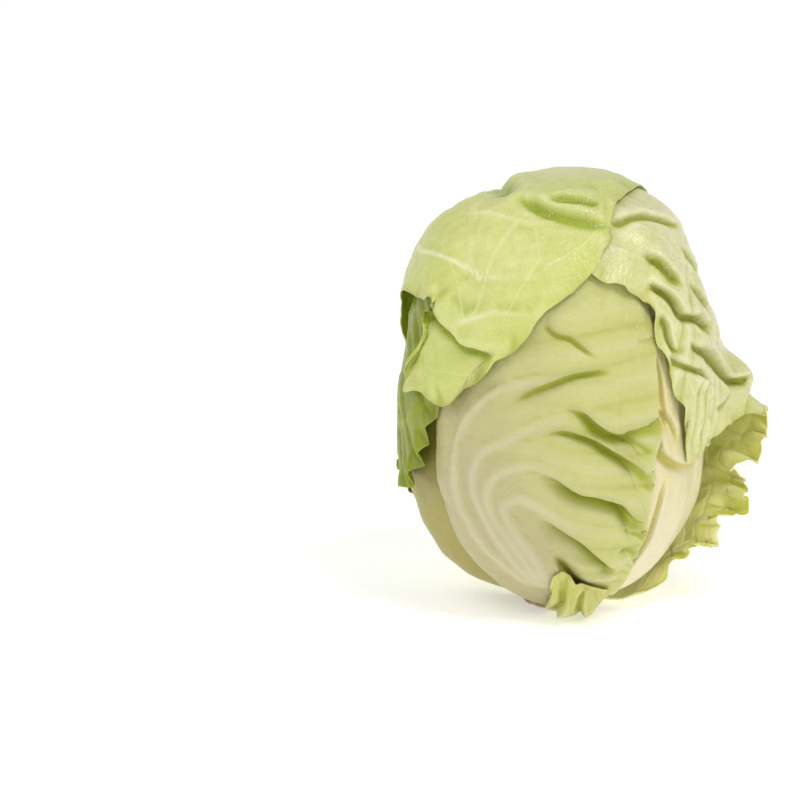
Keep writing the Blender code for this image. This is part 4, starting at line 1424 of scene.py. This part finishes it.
LEAVES = (
    LEFT_LEAF,
    INNER_LEAF,
    FRONT_LEAF,
    BASE_LEAF,
    SHOULDER_LEAF,
    RIGHT_LEAF,
    CROWN_RIGHT_LEAF,
    CROWN_LEAF,
)


class Heart:
    """The dense inner leaves, seen only through the gaps between the outer ones."""

    # How far it swells towards the gap at the right, where the gap lies, and how near to it the
    # swelling starts and grows, as the cosine of the way there
    FULLNESS = 4.5
    GAP = (68.0, 8.0)
    SWELL = (0.62, 0.3)
    # The highest that it may reach over the form, in mm
    TOP = 1.5
    RINGS = 120
    SECTORS = 300
    FOLDS = (
        Fold(((52, 24), (50, 12), (51, 0), (49, -12), (46, -22)), 5, 2.0, 2.0, 1.0, (0.1, 0.1)),
        Fold(((40, 20), (44, 10), (46, 2), (52, -6)), 4, 1.5, 2.0, 0.5, (0.2, 0.2)),
        Fold(((38, -2), (43, -8), (50, -12), (60, -14)), 5, 1.5, 1.5, 1.0, (0.2, 0.2)),
        Fold(((66, 20), (68, 5), (66, -10), (68, -25)), 5, 2.0, 2.0, 1.0, (0.1, 0.1)),
    )

    def __init__(self, form: HeadForm) -> None:
        """Keeps the form and the height of the flat underside that the stump carries."""
        self.form = form
        self.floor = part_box("heart")[0].z

    def grid(self) -> Array:
        """Shapes the heart: the form, sunk a little, with folds and a swelling at the gap.

        Returns:
            Its surface as a grid of points, from its lowest ring to its highest.
        """
        turns = np.linspace(-180, 180, self.SECTORS + 1)
        rises = np.linspace(-89.5, 89.5, self.RINGS)
        lon, lat = np.meshgrid(turns, rises, indexing="ij")
        q = toward(lon, lat)
        near = np.clip(q @ toward(*np.array(self.GAP)), 0, 1)
        start, grow = self.SWELL
        height = -self.form.HEART_DEPTH + self.FULLNESS * smooth((near - start) / grow)
        shape = Shape(self.form, q, height, lon, lat)
        for fold in self.FOLDS:
            fold.bend(shape)
        points, _ = self.form.place(q, np.minimum(shape.height + shape.relief, self.TOP))
        points[..., 2] = np.maximum(points[..., 2], self.floor)
        return points

    def build(self) -> Array:
        """Closes the heart's surface with a pole at each end and puts it into the scene.

        Returns:
            Its surface, for the pile.
        """
        grid = self.grid()
        ring = grid[:-1]
        sectors, rings = ring.shape[:2]
        index, after, quads = belt(sectors, rings)
        poles = np.stack([ring[:, 0].mean(0), ring[:, -1].mean(0)])
        points = np.concatenate([ring.reshape(-1, 3), poles])
        low, high = len(points) - 2, len(points) - 1
        bottom = np.stack([after[:, 0], index[:, 0], np.full(sectors, low)], -1)
        top = np.stack([index[:, -1], after[:, -1], np.full(sectors, high)], -1)
        mesh = bpy.data.meshes.new("inner_leaves")
        mesh.from_pydata(points.tolist(), [], quads.tolist() + bottom.tolist() + top.tolist())
        mesh.update()
        mesh.shade_smooth()
        finish = HEART_YELLOW.build("heart leaf tissue")
        Piece("inner_leaves", Slot.HEART, ("heart",)).place(mesh, finish)
        return grid


def hold(points: Array) -> Array:
    """Keeps points off the floor and inside the CAD box.

    What passes a line EASE mm within the box is squeezed by a hyperbolic tangent.

    Args:
        points: Points in metres.

    Returns:
        The points, eased in from every side but the floor's, where they are only stopped.
    """
    low = np.array(CAD_LOW) + BOX_GAP * MM
    high = np.array(CAD_HIGH) - BOX_GAP * MM
    ease = EASE * MM
    over = np.maximum(points - (high - ease), 0)
    under = np.maximum((low + ease) - points, 0)
    under[..., 2] = 0
    points = points - over + ease * np.tanh(over / ease) + under - ease * np.tanh(under / ease)
    points[..., 2] = np.maximum(points[..., 2], FLOOR_GAP * MM)
    return points


def build_leaf(leaf: Leaf, form: HeadForm, pile: Pile) -> Sheet:
    """Shapes a leaf, lays it on the pile and puts it into the scene.

    Args:
        leaf: The leaf's plan.
        form: The head form.
        pile: The pieces laid so far, to which the leaf is added.

    Returns:
        The leaf's outer face where it lies.
    """
    sheet = leaf.sheet(form)
    sheet.points = hold(pile.lift(sheet.points, leaf.thickness + CLEARANCE))
    pile.lay(sheet.points)
    # Painted shade in the hollows and painted highlight on the ridges of the face in view
    sheet.tint(leaf.shown)
    points, faces, source = shell(sheet, leaf.thickness)
    mesh = make_mesh(leaf.node + "_blade", points, faces)
    for name, values in sheet.marks.items():
        layer = mesh.attributes.new(name, "FLOAT", "POINT")
        layer.data.foreach_set("value", values.ravel()[source].astype(np.float32))
    flow = mesh.attributes.new("flow", "FLOAT_VECTOR", "POINT")
    flow.data.foreach_set("vector", sheet.flow.reshape(-1, 3)[source].astype(np.float32).ravel())
    material = leaf.finish.build(leaf.node.replace("_", " ") + " tissue")
    Piece(leaf.node + "_blade", leaf.slot, (leaf.node,)).place(mesh, material)
    return sheet


class Stump:
    """The cut stump: a short cone with a softened edge, browned at the cut."""

    SEGMENTS = 96
    # In mm: how far its edges are worn, how far its cut is hollow and how wide that is, and how
    # much narrower the stump is at its top
    WEAR = 0.8
    HOLLOW = 0.3
    HOLLOW_IN = 6.0
    TAPER = 1.5
    # How uneven its outline is, as a share of its radius
    UNEVEN = 0.02
    # In metres: the radii between which the cut browns, the width of its fibres and of its blots,
    # and the depth of the fibres
    BROWNED = (0.009, 0.015)
    FIBRE = 0.0012
    BLOT = 0.006
    RELIEF = 0.0004

    def build(self) -> None:
        """Turns the profile of (radius, height) rows round its axis and closes both caps."""
        _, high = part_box("stump")
        foot, top = high.x / MM, high.z / MM
        neck, wear = foot - self.TAPER, self.WEAR
        profile = np.array([(foot - self.HOLLOW_IN, self.HOLLOW), (foot - wear, 0.0),
                            (foot - 0.2, 0.3), (foot, wear), (neck + 0.7, top / 2),
                            (neck, top - wear), (neck - wear, top)])
        turn = np.linspace(0, 2 * np.pi, self.SEGMENTS, endpoint=False)
        worn = 1 - self.UNEVEN * (1 + wander(turn * 20, 6.0, 3))[:, None]
        radius = profile[None, :, 0] * worn
        height = np.broadcast_to(profile[None, :, 1], radius.shape)
        round_x, round_y = np.cos(turn)[:, None], np.sin(turn)[:, None]
        points = np.stack([radius * round_x, radius * round_y, height], -1) * MM
        index, _, quads = belt(*radius.shape)
        mesh = bpy.data.meshes.new("stump_cut")
        caps = [index[::-1, 0].tolist(), index[:, -1].tolist()]
        mesh.from_pydata(points.reshape(-1, 3).tolist(), [], quads.tolist() + caps)
        mesh.update()
        mesh.shade_smooth()
        Piece("stump_cut", Slot.STUMP, ("stump",)).place(mesh, self.finish())

    def finish(self) -> bpy.types.Material:
        """Makes knife-cut stem tissue: pale and matt, browned at its rim, flecked with fibre ends.

        Returns:
            The material.
        """
        n = Nodes("cut stem tissue")
        place = n.add("ShaderNodeTexCoord").outputs["Object"]
        level = n.add("ShaderNodeSeparateXYZ", None, Vector=place)
        squares = [n.math("POWER", level.outputs[k], 2.0) for k in (0, 1)]
        rim = n.ramp(n.math("SQRT", n.math("ADD", *squares)), *self.BROWNED)
        fibre = n.noise(place, self.FIBRE, 4.0)
        brown = n.math("MULTIPLY", rim, n.ramp(n.noise(place, self.BLOT), 0.2, 0.7))
        color = n.mix(brown, srgb("D9CFAE"), srgb("8A6B3F"))
        flecks = n.math("MULTIPLY", n.ramp(fibre, 0.55, 0.7), 0.4)
        color = n.mix(flecks, color, srgb("A08655"))
        n.set(n.shader.inputs["Base Color"], color)
        n.shader.inputs["Roughness"].default_value = 0.7
        bump = n.add("ShaderNodeBump", None, Strength=0.5, Distance=self.RELIEF, Height=fibre)
        n.set(n.shader.inputs["Normal"], bump.outputs[0])
        return n.material


class Dew:
    """Small drops of water on the upper leaves."""

    COUNT = 420
    RINGS = 4
    SECTORS = 10
    # Radii in mm, from the commonest to the largest, and the height of a drop against its radius
    SIZE = (0.3, 0.9)
    FLATTEN = 0.35
    # How many points at a leaf's edges stay dry
    DRY = 3

    def __init__(self, seed: int) -> None:
        """Starts with no drops."""
        self.rng = np.random.default_rng(seed)
        self.parts: list[tuple[Array, Array, Array]] = []

    def settle(
        self, sheet: Sheet, form: HeadForm, share: float, spot: tuple, spread: float
    ) -> None:
        """Drops water on a sheet, thickest round a spot.

        Args:
            sheet: The leaf's outer face.
            form: The head form.
            share: The part of all drops that land on this leaf.
            spot: The longitude and latitude they gather round.
            spread: How far they spread, in degrees.
        """
        q, _, _ = form.measure(sheet.points)
        apart = np.degrees(np.arccos(np.clip(q @ toward(*np.array(spot)), -1, 1)))
        weight = np.exp(-((apart / spread) ** 2))
        weight[:, -self.DRY:] = 0
        weight[: self.DRY] = 0
        weight[-self.DRY:] = 0
        chance = weight.ravel() / weight.sum()
        pick = self.rng.choice(weight.size, int(self.COUNT * share), False, chance)
        low, high = self.SIZE
        size = low + (high - low) * self.rng.random(len(pick)) ** 3
        rows = (grid.reshape(-1, 3)[pick] for grid in (sheet.points, sheet.normals()))
        self.parts.append((*rows, size))

    def build(self) -> None:
        """Makes all drops as one piece: each a flattened ball sunk a little into the leaf."""
        spot, up, size = (np.concatenate(rows) for rows in zip(*self.parts))
        side = unit(np.cross(up, self.rng.normal(size=up.shape)))
        ahead = np.cross(up, side)
        lat = np.linspace(-80, 80, self.RINGS)
        lon = np.linspace(0, 360, self.SECTORS, endpoint=False)
        ball = toward(*np.meshgrid(lon, lat)).reshape(-1, 3)
        local = ball * np.array([1, 1, self.FLATTEN])
        axes = np.stack([side, ahead, up], 1)
        points = spot[:, None] + np.einsum("kj,njd->nkd", local, axes) * (size * MM)[:, None, None]
        index = np.arange(self.RINGS * self.SECTORS).reshape(self.RINGS, self.SECTORS)
        after = np.roll(index, -1, 1)
        quads = np.stack([index[:-1], after[:-1], after[1:], index[1:]], -1).reshape(-1, 4)
        count = len(ball)
        step = (np.arange(len(spot)) * count)[:, None, None]
        faces = (quads[None] + step).reshape(-1, 4).tolist()
        caps = np.stack([index[0, ::-1], index[-1]])
        faces += (caps[None] + step).reshape(-1, self.SECTORS).tolist()
        mesh = bpy.data.meshes.new("dew")
        mesh.from_pydata(points.reshape(-1, 3).tolist(), [], faces)
        mesh.update()
        mesh.shade_smooth()
        Piece("dew", Slot.GREEN).place(mesh, self.finish())

    def finish(self) -> bpy.types.Material:
        """Makes clear water: nearly smooth and see-through, so only its glints show.

        Returns:
            The material.
        """
        n = Nodes("water")
        n.shader.inputs["Base Color"].default_value = srgb("FFFFFF")
        n.shader.inputs["Roughness"].default_value = 0.06
        n.shader.inputs["IOR"].default_value = 1.33
        n.shader.inputs["Alpha"].default_value = 0.22
        return n.material


# Where drops lie: the leaf, its share of them, the longitude and latitude they gather round, and
# how far they spread, in degrees
DEWY = (
    ("crown_leaf", 0.45, (5, 55), 22),
    ("crown_right_leaf", 0.45, (38, 42), 20),
    ("front_leaf", 0.1, (25, 28), 9),
)


class Studio:
    """A seamless pale floor, soft lights and a camera at the photograph's viewing angle."""

    # The camera: metres for one pixel of the photograph at the head, metres away, degrees above
    # the floor, the pixel where the head's foot stands, the picture's pixels, and the sensor's mm
    SCALE = 0.46 * MM
    DISTANCE = 1.3
    ELEVATION = 12.0
    ORIGIN = (555.5, 600.0)
    PICTURE = 800
    SENSOR = 36.0
    # The floor: half its width, and the distances between which it brightens, in metres
    FLOOR_REACH = 15.0
    BRIGHTENS = (0.3, 2.0)
    GLOW = 0.58
    # The surround's brightness overhead and at the horizon, and the heights, as shares, between
    # which the one turns into the other
    ABOVE = 0.42
    LEVEL = 1.0
    HORIZON = (0.08, 0.35)
    # Each light's name, place in metres, width in metres and power in watts, and what all aim at
    LIGHTS = (
        ("key", (0.5, -0.7, 1.3), 0.55, 8.8),
        ("fill", (-0.85, -0.5, 1.2), 0.9, 6.2),
        ("front", (0.4, -1.6, 0.35), 1.2, 2.0),
    )
    AIM = (0.0, 0.0, 0.1)

    def build(self) -> None:
        """Makes the floor, the lights, the world and the camera."""
        self.floor()
        self.world()
        for name, spot, size, power in self.LIGHTS:
            self.light(name, spot, size, power)
        self.camera()
        bpy.context.scene.view_settings.view_transform = "Standard"

    def floor(self) -> None:
        """A flat white floor that reaches past the frame and brightens away from the head."""
        corners = np.array([(-1, -1, 0), (1, -1, 0), (1, 1, 0), (-1, 1, 0)]) * self.FLOOR_REACH
        mesh = make_mesh("studio_floor", corners, np.array([[0, 1, 2, 3]]))
        floor = bpy.data.objects.new("studio_floor", mesh)
        bpy.context.scene.collection.objects.link(floor)
        # Seamless background paper, matt, lit a little from within so that it stays white far off
        n = Nodes("matt white paper")
        place = n.add("ShaderNodeTexCoord").outputs["Object"]
        away = n.add("ShaderNodeVectorMath", {"operation": "LENGTH"}, s0=place).outputs["Value"]
        glow = n.mix(n.ramp(away, *self.BRIGHTENS), srgb("D6D6D6"), srgb("FFFFFF"))
        n.set(n.shader.inputs["Emission Color"], glow)
        n.shader.inputs["Base Color"].default_value = srgb("F7F7F5")
        n.shader.inputs["Roughness"].default_value = 0.9
        n.shader.inputs["Specular IOR Level"].default_value = 0.1
        n.shader.inputs["Emission Strength"].default_value = self.GLOW
        mesh.materials.append(n.material)

    def world(self) -> None:
        """A white surround, brightest at the horizon."""
        world = bpy.data.worlds.new("studio")
        bpy.context.scene.world = world
        world.use_nodes = True
        tree = world.node_tree
        place = tree.nodes.new("ShaderNodeTexCoord")
        parts = tree.nodes.new("ShaderNodeSeparateXYZ")
        ramp = tree.nodes.new("ShaderNodeMapRange")
        for number, value in enumerate((*self.HORIZON, self.LEVEL, self.ABOVE), 1):
            ramp.inputs[number].default_value = value
        tree.links.new(place.outputs["Generated"], parts.inputs[0])
        tree.links.new(parts.outputs["Z"], ramp.inputs[0])
        tree.links.new(ramp.outputs[0], tree.nodes["Background"].inputs["Color"])

    def light(self, name: str, spot: tuple, size: float, power: float) -> None:
        """A square soft light aimed at the head.

        Args:
            name: The light's name.
            spot: Where it stands, in metres.
            size: Its width, in metres.
            power: Its power, in watts.
        """
        data = bpy.data.lights.new(name, "AREA")
        data.size = size
        data.energy = power
        lamp = bpy.data.objects.new(name, data)
        bpy.context.scene.collection.objects.link(lamp)
        lamp.location = spot
        ahead = Vector(self.AIM) - Vector(spot)
        lamp.rotation_euler = ahead.to_track_quat("-Z", "Y").to_euler()

    def camera(self) -> None:
        """The camera, at a distance where one pixel of the photograph is SCALE at the origin."""
        tilt = math.radians(self.ELEVATION)
        ahead = Vector((0, math.cos(tilt), -math.sin(tilt)))
        up = Vector((0, math.sin(tilt), math.cos(tilt)))
        half = self.PICTURE / 2
        right, rise = (half - self.ORIGIN[0]) * self.SCALE, (self.ORIGIN[1] - half) * self.SCALE
        target = Vector((right, 0, 0)) + up * rise
        data = bpy.data.cameras.new("camera")
        camera = bpy.data.objects.new("camera", data)
        bpy.context.scene.collection.objects.link(camera)
        camera.location = target - ahead * self.DISTANCE
        camera.rotation_euler = ahead.to_track_quat("-Z", "Y").to_euler()
        data.sensor_width = self.SENSOR
        data.lens = self.SENSOR * self.DISTANCE / (self.PICTURE * self.SCALE)
        bpy.context.scene.camera = camera


def main() -> None:
    """Builds the head from the stump outwards, the dew and the studio."""
    logging.basicConfig(level=logging.INFO, format="%(name)s: %(message)s")
    form = HeadForm()
    pile = Pile(form)
    Stump().build()
    pile.lay(Heart(form).build())
    sheets = {leaf.node: build_leaf(leaf, form, pile) for leaf in LEAVES}
    dew = Dew(7)
    for node, share, spot, spread in DEWY:
        dew.settle(sheets[node], form, share, spot, spread)
    dew.build()
    Studio().build()


if __name__ == "__main__":
    main()
